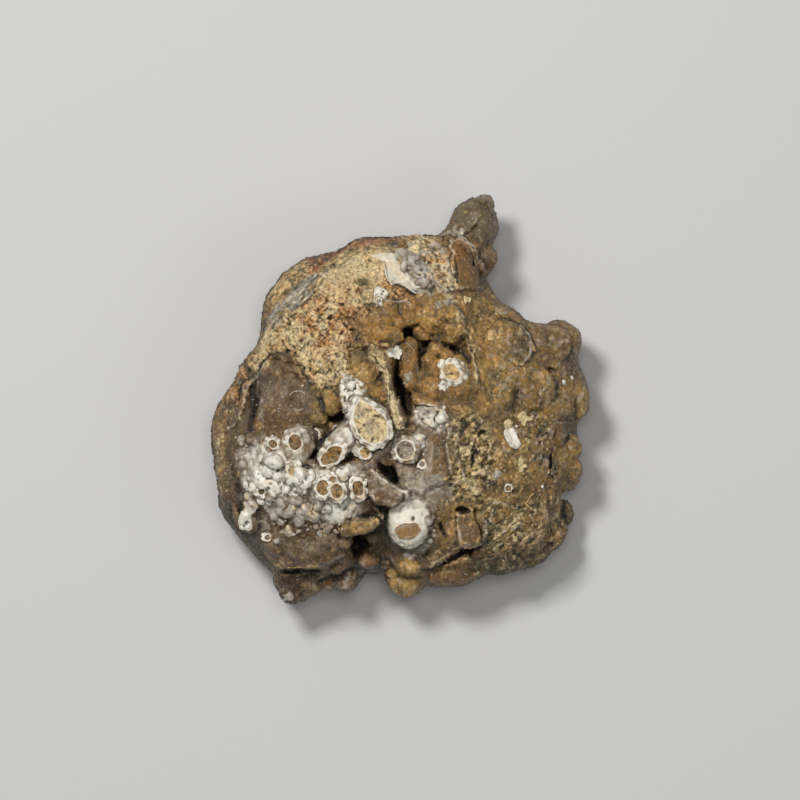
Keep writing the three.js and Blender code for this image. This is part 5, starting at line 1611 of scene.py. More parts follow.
CHIPS: dict[str, Chip] = {
    "flake on the lump": Chip(((437, 384), (442, 382), (447, 386), (446, 393), (441, 392)), 0.5),
    "flake by the ridge": Chip(((388, 350), (397, 347), (403, 350), (400, 357), (395, 362), (390, 357)), 0.6),
    "sheet flake 1": Chip(((488, 331), (494, 330), (495, 336), (491, 341)), 0.35, Skin.TAN),
    "sheet flake 2": Chip(((464, 296), (470, 297), (470, 302), (466, 304)), 0.4, Skin.CREAM),
    "sheet flake 3": Chip(((472, 309), (478, 308), (479, 312), (475, 314)), 0.3, Skin.TAN),
    "flank flake 1": Chip(((516, 414), (523, 412), (530, 418), (527, 426), (519, 423)), 0.7, Skin.CREAM),
    "flank flake 2": Chip(((505, 422), (512, 420), (514, 428), (508, 431)), 0.5, Skin.CREAM),
    "flank flake 3": Chip(((502, 434), (510, 431), (520, 438), (519, 446), (511, 448), (506, 442)), 0.8, Skin.MILK),
    "flank flake 4": Chip(((516, 462), (524, 461), (525, 468), (518, 470)), 0.5, Skin.CREAM),
    "flank flake 5": Chip(((494, 470), (500, 471), (499, 478), (494, 477)), 0.5, Skin.LILAC),
    "chip over the pool": Chip(((410, 247), (418, 245), (420, 252), (413, 256)), 0.6, Skin.CREAM),
    "brown chip over the pool": Chip(((396, 243), (404, 241), (407, 248), (400, 252)), 0.6, Skin.WARM),
    "chip of the corner": Chip(((284, 593), (289, 592), (291, 600), (287, 604), (283, 601)), 0.4, Skin.LILAC),
    "apron chip": Chip(((346, 499), (352, 498), (356, 505), (350, 508)), 0.5),
    "olive chip": Chip(((361, 279), (367, 279), (369, 284), (364, 287), (360, 284)), 0.3, Skin.OLIVE),
}


@dataclass(frozen=True)
class Line:
    """A thin raised edge that follows a path over the stone: its spots, its width and its skin."""

    spots: tuple[Spot, ...]
    width: float = 0.45
    skin: Skin = Skin.MILK
    tall: float = 0.4


LINES: dict[str, Line] = {
    "scalloped edge": Line(((496, 311), (503, 314), (510, 311), (516, 316), (520, 326), (527, 333), (531, 341),
        (530, 350), (528, 356), (523, 362)), 0.5, Skin.LILAC, 0.35),
    "finger's edge": Line(((392, 331), (398, 338), (410, 346), (418, 352), (420, 362), (417, 374)), 0.3, Skin.PURPLE,
        0.2),
    "right lobe's edge": Line(((472, 358), (476, 368), (478, 378), (475, 388)), 0.3, Skin.PURPLE, 0.2),
    "slab's top edge": Line(((457, 236), (463, 237), (470, 243), (477, 253)), 0.4, Skin.LILAC),
    "knob root's edge": Line(((441, 236), (448, 232), (456, 236)), 0.4, Skin.LILAC),
    "lip edge": Line(((374, 471), (380, 477), (385, 481), (395, 486), (405, 492)), 0.4),
    "curved edge": Line(((371, 494), (374, 499), (375, 505), (378, 512)), 0.35),
    "ledge": Line(((262, 549), (265, 558), (271, 566), (282, 569), (300, 567), (318, 566)), 0.35, Skin.TAN, 0.3),
    "slope's ledge": Line(((431, 567), (440, 562), (450, 556), (460, 548)), 0.45, Skin.CREAM),
    "squiggle, upper": Line(((290, 396), (295, 391), (301, 391), (306, 396)), 0.35, Skin.LILAC, 0.25),
    "squiggle, lower": Line(((293, 408), (299, 411), (305, 408)), 0.35, Skin.LILAC, 0.25),
    "pool's edge": Line(((384, 262), (387, 276), (392, 286), (398, 283), (405, 286), (413, 293), (420, 294)), 0.3,
        Skin.MILK, 0.25),
    "wedge's left edge": Line(((421, 254), (424, 262), (429, 271), (437, 283), (447, 292)), 0.35, Skin.LILAC, 0.3),
    "wedge's right edge": Line(((447, 252), (451, 264), (455, 280), (457, 290)), 0.3, Skin.CREAM, 0.3),
    "seam below the pool": Line(((384, 300), (394, 303), (404, 302), (412, 304)), 0.4, Skin.LILAC, 0.3),
    "straw 1": Line(((537, 490), (530, 497), (524, 505)), 0.4, Skin.TAN, 0.4),
    "straw 2": Line(((522, 502), (527, 506), (533, 510)), 0.35, Skin.TAN, 0.4),
    "straw 3": Line(((500, 524), (512, 514), (524, 506)), 0.4, Skin.MOSS, 0.35),
    "straw 4": Line(((486, 548), (500, 538), (516, 530)), 0.45, Skin.MOSS, 0.35),
    "straw 5": Line(((528, 548), (540, 536), (552, 528)), 0.4, Skin.TAN, 0.35),
    "button's core edge": Line(((395, 530), (400, 525), (407, 523.5), (416, 523.5), (421, 529), (413, 537.5),
        (400, 538), (395, 530)), 0.25, Skin.OCHRE, 0.2),
    "fibre 1": Line(((267, 324), (280, 308), (293, 295)), 0.35, Skin.LILAC, 0.35),
    "fibre 2": Line(((278, 316), (292, 302), (308, 290)), 0.35, Skin.FIBRE, 0.35),
    "fibre 3": Line(((292, 296), (306, 284), (320, 274)), 0.3, Skin.LILAC, 0.3),
    "rim crack": Line(((318, 270), (332, 262), (348, 256), (364, 250)), 0.35, Skin.TAN, 0.3),
}


@dataclass
class Trim:
    """The flakes and the thin raised edges that lie on the face, as one piece of small closed bodies."""

    face: FaceMap
    flake_around: int = 40
    edge_step: float = 0.3

    @property
    def ground(self) -> Array:
        """The worked surface's heights."""
        return self.face.z + self.face.rise

    def flake(self, index: int, chip: Chip) -> tuple[Array, Array, Array, Array]:
        """Make one flake; gives vertices, faces, colours and traits."""
        around = self.flake_around
        turns = np.linspace(-math.pi, math.pi, around, endpoint=False)
        middle = tuple(np.mean(chip.outline, axis=0))
        radius = reach(chip.outline, middle, turns)
        ragged = Noise.cloud(np.stack([np.cos(turns), np.sin(turns), turns * 0], axis=1), 1.1, 300 + index, 3)
        radius = radius * np.clip(0.85 + 1.9 * (ragged - 0.5), 0.4, 1.3)
        ways = np.stack([np.cos(turns), np.sin(turns)], axis=1)
        levels = ((1.0, -1.0), (1.02, 0.1), (0.98, 0.7), (0.88, 1.0), (0.7, 0.92), (0.5, 0.96), (0.25, 0.9),
                  (0.08, 0.9))
        rings = [np.column_stack([np.array(place(middle)) + ways * (radius * share)[:, None],
                                  np.full(around, level * chip.thick)]) for share, level in levels]
        body = np.concatenate(rings)
        wobble = Noise.cloud(body, 0.9, 300 + index, 2) - 0.5
        own = Noise.cells(body, 0.8, 330 + index)[2]
        body[:, :2] += (0.5 * wobble[:, None]) * np.tile(ways, (len(levels), 1))
        base = self.face.at(self.ground, body)
        level = np.median(base[around:])
        body[:, 2] += np.clip(base, level - 0.7, level + 0.7) + 0.3 * wobble + 0.25 * (own - 0.5) - 0.1
        tint = chip.skin.tint * np.clip(0.85 + 0.9 * wobble + 0.4 * (own - 0.5), 0.35, 1.1)[:, None]
        traits = np.tile(chip.skin.traits, (len(body), 1))
        return closed(body, around, tint, traits)

    def edge(self, index: int, line: Line) -> tuple[Array, Array, Array, Array]:
        """Make one raised edge; gives vertices, faces, colours and traits."""
        corners = np.array([place(s) for s in line.spots])
        lengths = np.concatenate([[0.0], np.cumsum(np.linalg.norm(np.diff(corners, axis=0), axis=1))])
        count = max(8, int(lengths[-1] / self.edge_step))
        along = np.linspace(0.0, lengths[-1], count)
        spine = np.stack([np.interp(along, lengths, corners[:, axis]) for axis in range(2)], axis=1)
        for _ in range(4):
            spine[1:-1] = 0.25 * spine[:-2] + 0.5 * spine[1:-1] + 0.25 * spine[2:]
        at = np.column_stack([spine, np.zeros(count)])
        shift = Noise.cloud(at, 1.6, 360 + index, 3) - 0.5
        heading = np.gradient(spine, axis=0)
        heading /= np.maximum(np.linalg.norm(heading, axis=1, keepdims=True), 1e-9)
        side = np.stack([-heading[:, 1], heading[:, 0]], axis=1)
        spine = spine + side * (0.9 * shift)[:, None]
        taper = np.minimum(1.0, np.minimum(np.arange(count), np.arange(count)[::-1]) / 3.0 + 0.25)
        width = line.width * taper * (0.75 + 1.1 * np.abs(Noise.cloud(at, 1.1, 400 + index, 2) - 0.45))
        profile = ((-0.5, -1.2), (0.5, -1.2), (0.62, 0.1), (0.3, 0.9), (-0.2, 1.0), (-0.6, 0.2))
        around = len(profile)
        body = np.zeros((count, around, 3))
        for k, (across, up) in enumerate(profile):
            body[:, k, :2] = spine + side * (across * width)[:, None]
            body[:, k, 2] = up * line.tall * taper
        body = body.reshape(-1, 3)
        base = self.face.at(self.ground, np.column_stack([np.repeat(spine, around, axis=0),
                                                          np.zeros(count * around)]))
        base = base - 1.5 * smooth(0.8, 2.0, np.median(base) - base)
        body[:, 2] += base + 0.25 * (Noise.cloud(body, 0.7, 430 + index, 2) - 0.5)
        tint = line.skin.tint * np.clip(0.9 + 0.9 * (Noise.cloud(body, 1.0, 460 + index, 2) - 0.5), 0.5, 1.15)[:, None]
        traits = np.tile(line.skin.traits, (len(body), 1))
        return closed(body, around, tint, traits)

    def build(self) -> bpy.types.Object:
        """Make the piece."""
        parts = [self.flake(i, chip) for i, chip in enumerate(CHIPS.values())]
        parts += [self.edge(i, line) for i, line in enumerate(LINES.values())]
        return MeshMaker.gather("flakes_and_edges", parts)


@dataclass(frozen=True)
class BudField:
    """A field of botryoidal buds: some named, and many small ones strewn inside an outline."""

    outline: tuple[Spot, ...]
    strewn: int
    sizes: tuple[float, float]
    skin: Skin
    seed: int
    named: tuple[tuple[float, float, float, float], ...] = ()
    proud: float = 0.35


BUD_FIELDS: dict[str, BudField] = {
    "white buds": BudField(((252, 456), (270, 446), (286, 462), (310, 470), (322, 478), (316, 496), (300, 500),
        (282, 500), (262, 506), (246, 500), (246, 478)), 64, (0.3, 1.3), Skin.MILK, 201, ((274, 461, 2.2, 1.3),
        (270, 470, 1.7, 1.0), (282, 476, 1.8, 1.1), (292, 480, 1.5, 1.0), (302, 474, 2.0, 1.0), (308, 482, 1.8, 0.9),
        (264, 482, 1.6, 0.9), (254, 486, 1.5, 0.8), (276, 486, 1.5, 0.9), (262, 500, 1.3, 0.8), (288, 488, 1.5, 0.9),
        (250, 496, 1.2, 0.7), (298, 464, 1.3, 0.8), (312, 474, 1.3, 0.8))),
    "lilac buds": BudField(((272, 492), (300, 490), (326, 496), (330, 512), (318, 528), (296, 534), (272, 526),
        (262, 508)), 60, (0.3, 1.3), Skin.LILAC, 202, ((296, 500, 1.6, 0.9), (306, 508, 1.7, 1.0),
        (290, 512, 1.6, 0.9), (314, 516, 1.6, 0.9), (300, 522, 1.5, 0.8), (282, 502, 1.4, 0.8), (276, 514, 1.3, 0.7),
        (320, 504, 1.4, 0.8))),
    "apron": BudField(((322, 500), (346, 496), (358, 504), (354, 518), (332, 520)), 10, (0.35, 0.7), Skin.MILK, 203, (
        (328, 506, 1.3, 0.5), (350, 506, 1.2, 0.5))),
    "elongated bud": BudField(((240, 500), (256, 500), (256, 528), (240, 528)), 6, (0.4, 0.7), Skin.MILK, 204, (
        (246, 516, 1.6, 0.9), (250, 510, 1.7, 1.0), (243, 521, 1.2, 0.7), (254, 504, 1.2, 0.7), (249, 526, 1.2, 0.7),
        (242, 526, 0.9, 0.6))),
    "large core's cap": BudField(((343, 376), (362, 380), (362, 392), (354, 404), (358, 424), (346, 424), (342, 400))
        , 60, (0.4, 0.9), Skin.MILK, 205, ((352, 386, 1.5, 0.8), (346, 394, 1.3, 0.8), (349, 406, 1.2, 0.7),
        (358, 392, 1.1, 0.7), (350, 416, 1.1, 0.6))),
    "tube's white shoulders": BudField(((334, 428), (352, 430), (348, 444), (330, 440)), 26, (0.5, 1.0), Skin.MILK,
        206, ((344, 433, 1.6, 1.0), (336, 437, 1.4, 0.9), (350, 440, 1.2, 0.8))),
    "pool's druse": BudField(((398, 256), (424, 258), (430, 276), (422, 292), (410, 276)), 60, (0.35, 0.8), Skin.LILAC,
        207, ((404, 268, 1.0, 0.6), (418, 271, 1.0, 0.6), (423, 277, 0.9, 0.6), (425, 285, 1.1, 0.7),
        (412, 262, 0.9, 0.5))),
    "white double blob": BudField(((374, 288), (386, 288), (386, 308), (374, 308)), 5, (0.4, 0.7), Skin.MILK, 208, (
        (379, 293, 1.2, 0.8), (379, 301, 1.3, 0.8), (383, 299, 1.0, 0.6))),
    "white lump by the pocket": BudField(((418, 408), (444, 406), (448, 426), (424, 428)), 40, (0.45, 0.9), Skin.MILK,
        209, ((424, 412, 1.3, 0.9), (434, 412, 1.4, 1.0), (441, 418, 1.2, 0.8), (428, 421, 1.1, 0.7),
        (421, 407, 1.1, 0.8))),
    "ring's white lobe": BudField(((412, 436), (424, 434), (424, 454), (414, 456)), 10, (0.5, 0.8), Skin.MILK, 210, (
        (416, 448, 1.5, 0.8), (418, 438, 1.2, 0.8))),
    "twin's white lobe": BudField(((336, 466), (350, 468), (350, 480), (338, 480)), 8, (0.5, 0.8), Skin.MILK, 211, (
        (341, 474, 1.5, 0.9), (347, 470, 1.1, 0.7))),
    "frost on the finger": BudField(((404, 372), (412, 372), (412, 384), (404, 384)), 8, (0.35, 0.7), Skin.LILAC, 212,
        ((408, 378, 0.9, 0.6),)),
    "beads below the field": BudField(((262, 528), (300, 536), (330, 540), (350, 524), (330, 522), (290, 530)), 34,
        (0.3, 0.7), Skin.LILAC, 213, ((289, 531, 1.1, 0.8), (277, 541, 0.9, 0.6))),
    "drips by the rim": BudField(((236, 434), (248, 434), (248, 470), (238, 470)), 12, (0.35, 0.8), Skin.LILAC, 214, (
        (242, 440, 1.1, 0.6), (244, 464, 1.2, 0.6))),
    "button's frost": BudField(((424, 502), (436, 506), (436, 536), (428, 544)), 10, (0.3, 0.6), Skin.LILAC, 215, (
        (428, 520, 1.3, 0.6), (392, 512, 1.2, 0.6))),
    "dots on the right": BudField(((480, 320), (560, 380), (574, 440), (540, 500), (500, 470)), 26, (0.18, 0.4),
        Skin.MILK, 216, ((564, 382, 0.7, 0.5), (542, 487, 0.7, 0.5), (572, 378, 0.5, 0.4))),
    "dots on the left": BudField(((262, 370), (310, 372), (310, 430), (270, 430)), 12, (0.18, 0.4), Skin.MILK, 217, (
        (301, 352, 0.8, 0.6),)),
}


@dataclass
class BudCluster:
    """All the bud fields on the face, as one piece."""

    face: FaceMap
    step: float = 0.26

    def grow(self, buds: BudField) -> tuple[Array, Array, Array, Array]:
        """Grow one field.

        Args:
            buds: The field.

        Returns:
            Vertices, faces, colours and traits.
        """
        random = np.random.default_rng(buds.seed)
        corners = np.array([place(s) for s in buds.outline])
        low, high = corners.min(axis=0) - 2.5, corners.max(axis=0) + 2.5
        seeds: list[tuple[float, float, float, float]] = []
        for px, py, radius, proud in buds.named:
            x, y = place((px, py))
            seeds.append((x, y, self.face.height(x, y) + proud - radius * 0.62, radius))
        tries = random.uniform(corners.min(axis=0), corners.max(axis=0), (buds.strewn * 3, 2))
        inside = outline_distance(tries[:, 0], tries[:, 1], buds.outline) < 0.0
        for x, y in tries[inside][: buds.strewn]:
            radius = buds.sizes[0] + (buds.sizes[1] - buds.sizes[0]) * random.random() ** 2.2
            seeds.append((x, y, self.face.height(x, y) + buds.proud * random.random() - radius * 0.4, radius))
        heights = [s[2] for s in seeds]
        volume = Volume.empty((*low, min(heights) - 3.0), (*high, max(heights) + 3.5), self.step, 1.2)
        for x, y, z, radius in seeds:
            squash = np.array([0.7, 0.7, 0.75]) + random.random(3) * (0.75, 0.4, 0.4)
            volume.join((x, y, z), radius * squash, 360.0 * random.random(), 0.55)
        points, quads = volume.surface()
        triangles = halves(quads)
        normals = vertex_normals(points, triangles)
        rough = Noise.cloud(points, 1.9, buds.seed, 3) - 0.5
        fine = Noise.cloud(points, 0.6, buds.seed + 2, 2) - 0.5
        beads = 0.5 - Noise.cells(points, 0.9, buds.seed + 1)[0]
        points = points + normals * (0.7 * rough + 0.2 * beads + 0.12 * fine)[:, None]
        hollow = np.einsum("ij,ij->i", smoothed(points, triangles, 5) - points, normals)
        rise = points[:, 2] - self.face.at(self.face.z + self.face.rise, points)
        tint = np.tile(buds.skin.tint * (0.94 if buds.skin is Skin.MILK else 0.84), (len(points), 1))
        patch = Noise.cloud(points, 2.6, 77)
        for skin, share in ((Skin.LILAC if buds.skin is Skin.MILK else Skin.PURPLE,
                             np.clip(0.7 * smooth(0.8, -0.2, rise) + 0.9 * smooth(0.5, 0.6, patch), 0, 1)),
                            (Skin.MILK, (0.7 if buds.skin is Skin.MILK else 0.15) * smooth(0.48, 0.36, patch)),
                            (Skin.CREAM, 0.5 * smooth(0.64, 0.72, Noise.cloud(points, 2.4, 78, 3))),
                            (Skin.BULGE, 0.8 * smooth(0.4, -0.3, rise)),
                            # brown in the hollows between buds: partly the brown ground, partly painted shade
                            (Skin.BULGE, (0.85 if buds.skin is Skin.MILK else 0.45) * smooth(0.02, 0.12, hollow))):
            tint = tint + (skin.tint - tint) * share[:, None]
        # painted shade: the tint darkens in the hollows between buds
        tint = tint * np.clip(1.0 - 0.75 * smooth(0.0, 0.1, hollow) + 0.9 * fine + 0.3 * rough, 0.16, 1.15)[:, None]
        return points, triangles, tint, np.tile(buds.skin.traits, (len(points), 1))

    def build(self) -> bpy.types.Object:
        """Make the piece."""
        return MeshMaker.gather("buds", [self.grow(buds) for buds in BUD_FIELDS.values()])


def add_node(tree: bpy.types.NodeTree, kind: str, links: dict | None = None, **settings: object) -> bpy.types.Node:
    """Add a node to a tree.

    Args:
        tree: The tree.
        kind: The node's type.
        links: Values or sockets for its inputs, by name or number.
        settings: Its own settings.

    Returns:
        The node.
    """
    node = tree.nodes.new(kind)
    for key, value in settings.items():
        setattr(node, key, value)
    for key, value in (links or {}).items():
        if isinstance(value, bpy.types.NodeSocket):
            tree.links.new(value, node.inputs[key])
        else:
            node.inputs[key].default_value = value
    return node


class Finish:
    """Builds shader trees from short calls."""

    def __init__(self, name: str) -> None:
        """Start an empty material."""
        self.material = bpy.data.materials.new(name)
        self.material.use_nodes = True
        self.tree = self.material.node_tree
        self.tree.nodes.clear()

    def node(self, kind: str, links: dict | None = None, **settings: object) -> bpy.types.Node:
        """Add a node to this material."""
        return add_node(self.tree, kind, links, **settings)

    def attribute(self, name: str, part: str = "Color") -> bpy.types.NodeSocket:
        """Read an attribute of the mesh."""
        return self.node("ShaderNodeAttribute", attribute_name=name).outputs[part]

    def split(self, colour: bpy.types.NodeSocket, part: int) -> bpy.types.NodeSocket:
        """Take one channel of a colour."""
        return self.node("ShaderNodeSeparateColor", {0: colour}).outputs[part]

    def cells(self, places: bpy.types.NodeSocket, scale: float) -> bpy.types.Node:
        """Add a cell pattern."""
        return self.node("ShaderNodeTexVoronoi", {"Vector": places, "Scale": scale})

    def cloud(self, places: bpy.types.NodeSocket, scale: float, detail: float, rough: float) -> bpy.types.Node:
        """Add a cloudy pattern."""
        return self.node("ShaderNodeTexNoise", {"Vector": places, "Scale": scale, "Detail": detail,
                                                "Roughness": rough})

    def maths(self, operation: str, *values: object) -> bpy.types.NodeSocket:
        """Add a Math node and give its output."""
        return self.node("ShaderNodeMath", dict(enumerate(values)), operation=operation).outputs[0]

    def times(self, first: object, second: object) -> bpy.types.NodeSocket:
        """Multiply two numbers."""
        return self.maths("MULTIPLY", first, second)

    def mix(self, share: object, first: object, second: object, blend: str = "MIX") -> bpy.types.NodeSocket:
        """Mix two colours and give the result."""
        return self.node("ShaderNodeMix", {0: share, 6: first, 7: second}, data_type="RGBA",
                         blend_type=blend).outputs[2]

    def lit(self, colour: object, level: object) -> bpy.types.NodeSocket:
        """Multiply a colour by a level of light."""
        return self.mix(1.0, colour, self.node("ShaderNodeCombineColor", {0: level, 1: level, 2: level}).outputs[0],
                        "MULTIPLY")

    def stain_and_shade(self, share: object, colour: object, stain: tuple[float, float, float]) -> bpy.types.NodeSocket:
        """Multiply a share of a colour by a stain colour, which in small pits is painted shade."""
        return self.mix(share, colour, self.mix(1.0, colour, (*stain, 1.0), "MULTIPLY"))

    def ramp(self, value: object, low: float, high: float, start: float = 0.0,
             end: float = 1.0) -> bpy.types.NodeSocket:
        """Map a value from one range to another, held at its ends."""
        return self.node("ShaderNodeMapRange", {0: value, 1: low, 2: high, 3: start, 4: end}).outputs[0]


@dataclass(frozen=True)
class StoneFinish:
    """The stone's one finish: waxy chalcedony, sugary, milky or granular by its traits."""

    name: str
    variation: float = 1.0
    bump: float = 1.0
    roughness: tuple[float, float] = (0.44, 0.85)
    subsurface: float = 0.1
    shaded: bool = False

    def material(self) -> bpy.types.Material:
        """Build the material."""
        f = Finish(self.name)
        mm = f.node("ShaderNodeVectorMath", {0: f.node("ShaderNodeTexCoord").outputs["Object"], "Scale": 1000.0},
                    operation="SCALE").outputs[0]
        traits = f.node("ShaderNodeSeparateColor", {0: f.attribute("traits")})
        grain, sugar, milk = traits.outputs[:3]
        wide = f.cloud(mm, 0.22, 4.0, 0.6).outputs[0]
        middle = f.cloud(mm, 0.95, 5.0, 0.66)
        fine = f.cloud(mm, 4.2, 3.0, 0.6).outputs[0]
        warped = f.node("ShaderNodeVectorMath", {0: mm, 1: middle.outputs["Color"]}, operation="ADD").outputs[0]
        crumbs, sand, glint_cells = f.cells(warped, 1.5), f.cells(warped, 4.0), f.cells(warped, 1.35)
        sand_own = f.split(sand.outputs["Color"], 0)
        v = self.variation
        level = f.ramp(middle.outputs[0], 0.3, 0.72, 1.0 - 0.2 * v, 1.0 + 0.2 * v)
        if self.shaded:
            level = f.times(level, f.ramp(f.attribute("shade", "Fac"), 0.0, 1.0, 0.5, 1.45))
        colour = f.lit(f.attribute("tint"), level)
        colour = f.stain_and_shade(f.times(f.ramp(wide, 0.5, 0.66), f.times(sugar, 0.5 * v)), colour, (1.15, 0.99, 0.78))
        grains = f.times(f.ramp(f.split(crumbs.outputs["Color"], 0), 0.0, 1.0, 0.72, 1.34),
                         f.ramp(sand_own, 0.0, 1.0, 0.72, 1.24))
        grains = f.times(grains, f.ramp(fine, 0.32, 0.5, 0.5, 1.15))
        colour = f.mix(f.times(grain, 0.85 * v), colour, f.lit(colour, grains))
        # pale specks on sugary ground, partly pale grains and partly painted sparkle
        pale_grain_and_glint = f.times(f.ramp(sand_own, 0.88, 0.92), f.times(sugar, 0.3))
        colour = f.mix(pale_grain_and_glint, colour, (0.6, 0.52, 0.4, 1.0))
        # painted shade: small dark pits on sugary ground
        dark = f.times(f.ramp(sand_own, 0.14, 0.08), f.times(sugar, 0.45))
        colour = f.stain_and_shade(dark, colour, (0.35, 0.33, 0.32))
        veil = f.times(f.ramp(middle.outputs[0], 0.5, 0.62), f.times(milk, 0.3 * v))
        colour = f.stain_and_shade(veil, colour, (0.62, 0.58, 0.54))
        # painted glints: tiny pale dots that stand for the sparkle of the druse
        painted_glint = f.times(f.ramp(glint_cells.outputs["Distance"], 0.26, 0.14),
                      f.ramp(f.split(glint_cells.outputs["Color"], 1), 0.77, 0.85))
        colour = f.mix(f.times(painted_glint, 0.7), colour, (0.78, 0.72, 0.6, 1.0))
        rough = f.maths("ADD", f.ramp(grain, 0.0, 1.0, *self.roughness), f.ramp(fine, 0.3, 0.7, -0.12, 0.12))
        height = f.times(f.ramp(crumbs.outputs["Distance"], 0.0, 0.7, 1.0, 0.0), f.times(grain, 0.34))
        sandy = f.maths("ADD", f.times(sugar, 0.11), f.times(grain, 0.12))
        for part in (f.times(f.ramp(sand.outputs["Distance"], 0.0, 0.6, 1.0, 0.0), sandy),
                     f.times(fine, f.maths("ADD", 0.05, f.times(grain, 0.25))), f.times(middle.outputs[0], 0.22)):
            height = f.maths("ADD", height, part)
        bump = f.node("ShaderNodeBump", {"Height": height, "Strength": self.bump, "Distance": 0.001})
        shader = f.node("ShaderNodeBsdfPrincipled", {
            "Base Color": colour, "Roughness": rough, "Normal": bump.outputs[0], "IOR": 1.54,
            "Subsurface Weight": self.subsurface, "Subsurface Scale": 0.0012,
            "Subsurface Radius": (1.0, 0.7, 0.5), "Coat Weight": 0.06, "Coat Roughness": 0.3})
        f.node("ShaderNodeOutputMaterial", {0: shader.outputs[0]})
        return f.material


@dataclass(frozen=True)
class CrystalFinish:
    """Tiny clear quartz crystals that take their colour from what they grow on."""

    name: str = "druse"

    def material(self) -> bpy.types.Material:
        """Build the material."""
        f = Finish(self.name)
        shade = f.attribute("shade", "Fac")
        pale = f.mix(f.ramp(shade, 0.82, 1.0, 0.0, 0.7), f.attribute("tint"), (0.7, 0.64, 0.54, 1.0))
        pale = f.lit(pale, f.ramp(shade, 0.0, 0.8, 0.6, 1.35))
        shader = f.node("ShaderNodeBsdfPrincipled", {"Base Color": pale, "Roughness": 0.12, "IOR": 1.54,
                                                     "Coat Weight": 0.3, "Coat Roughness": 0.05})
        f.node("ShaderNodeOutputMaterial", {0: shader.outputs[0]})
        return f.material


class Kind(Enum):
    """What is strewn over the stone."""

    CRYSTAL = "crystal"
    CRUMB = "crumb"


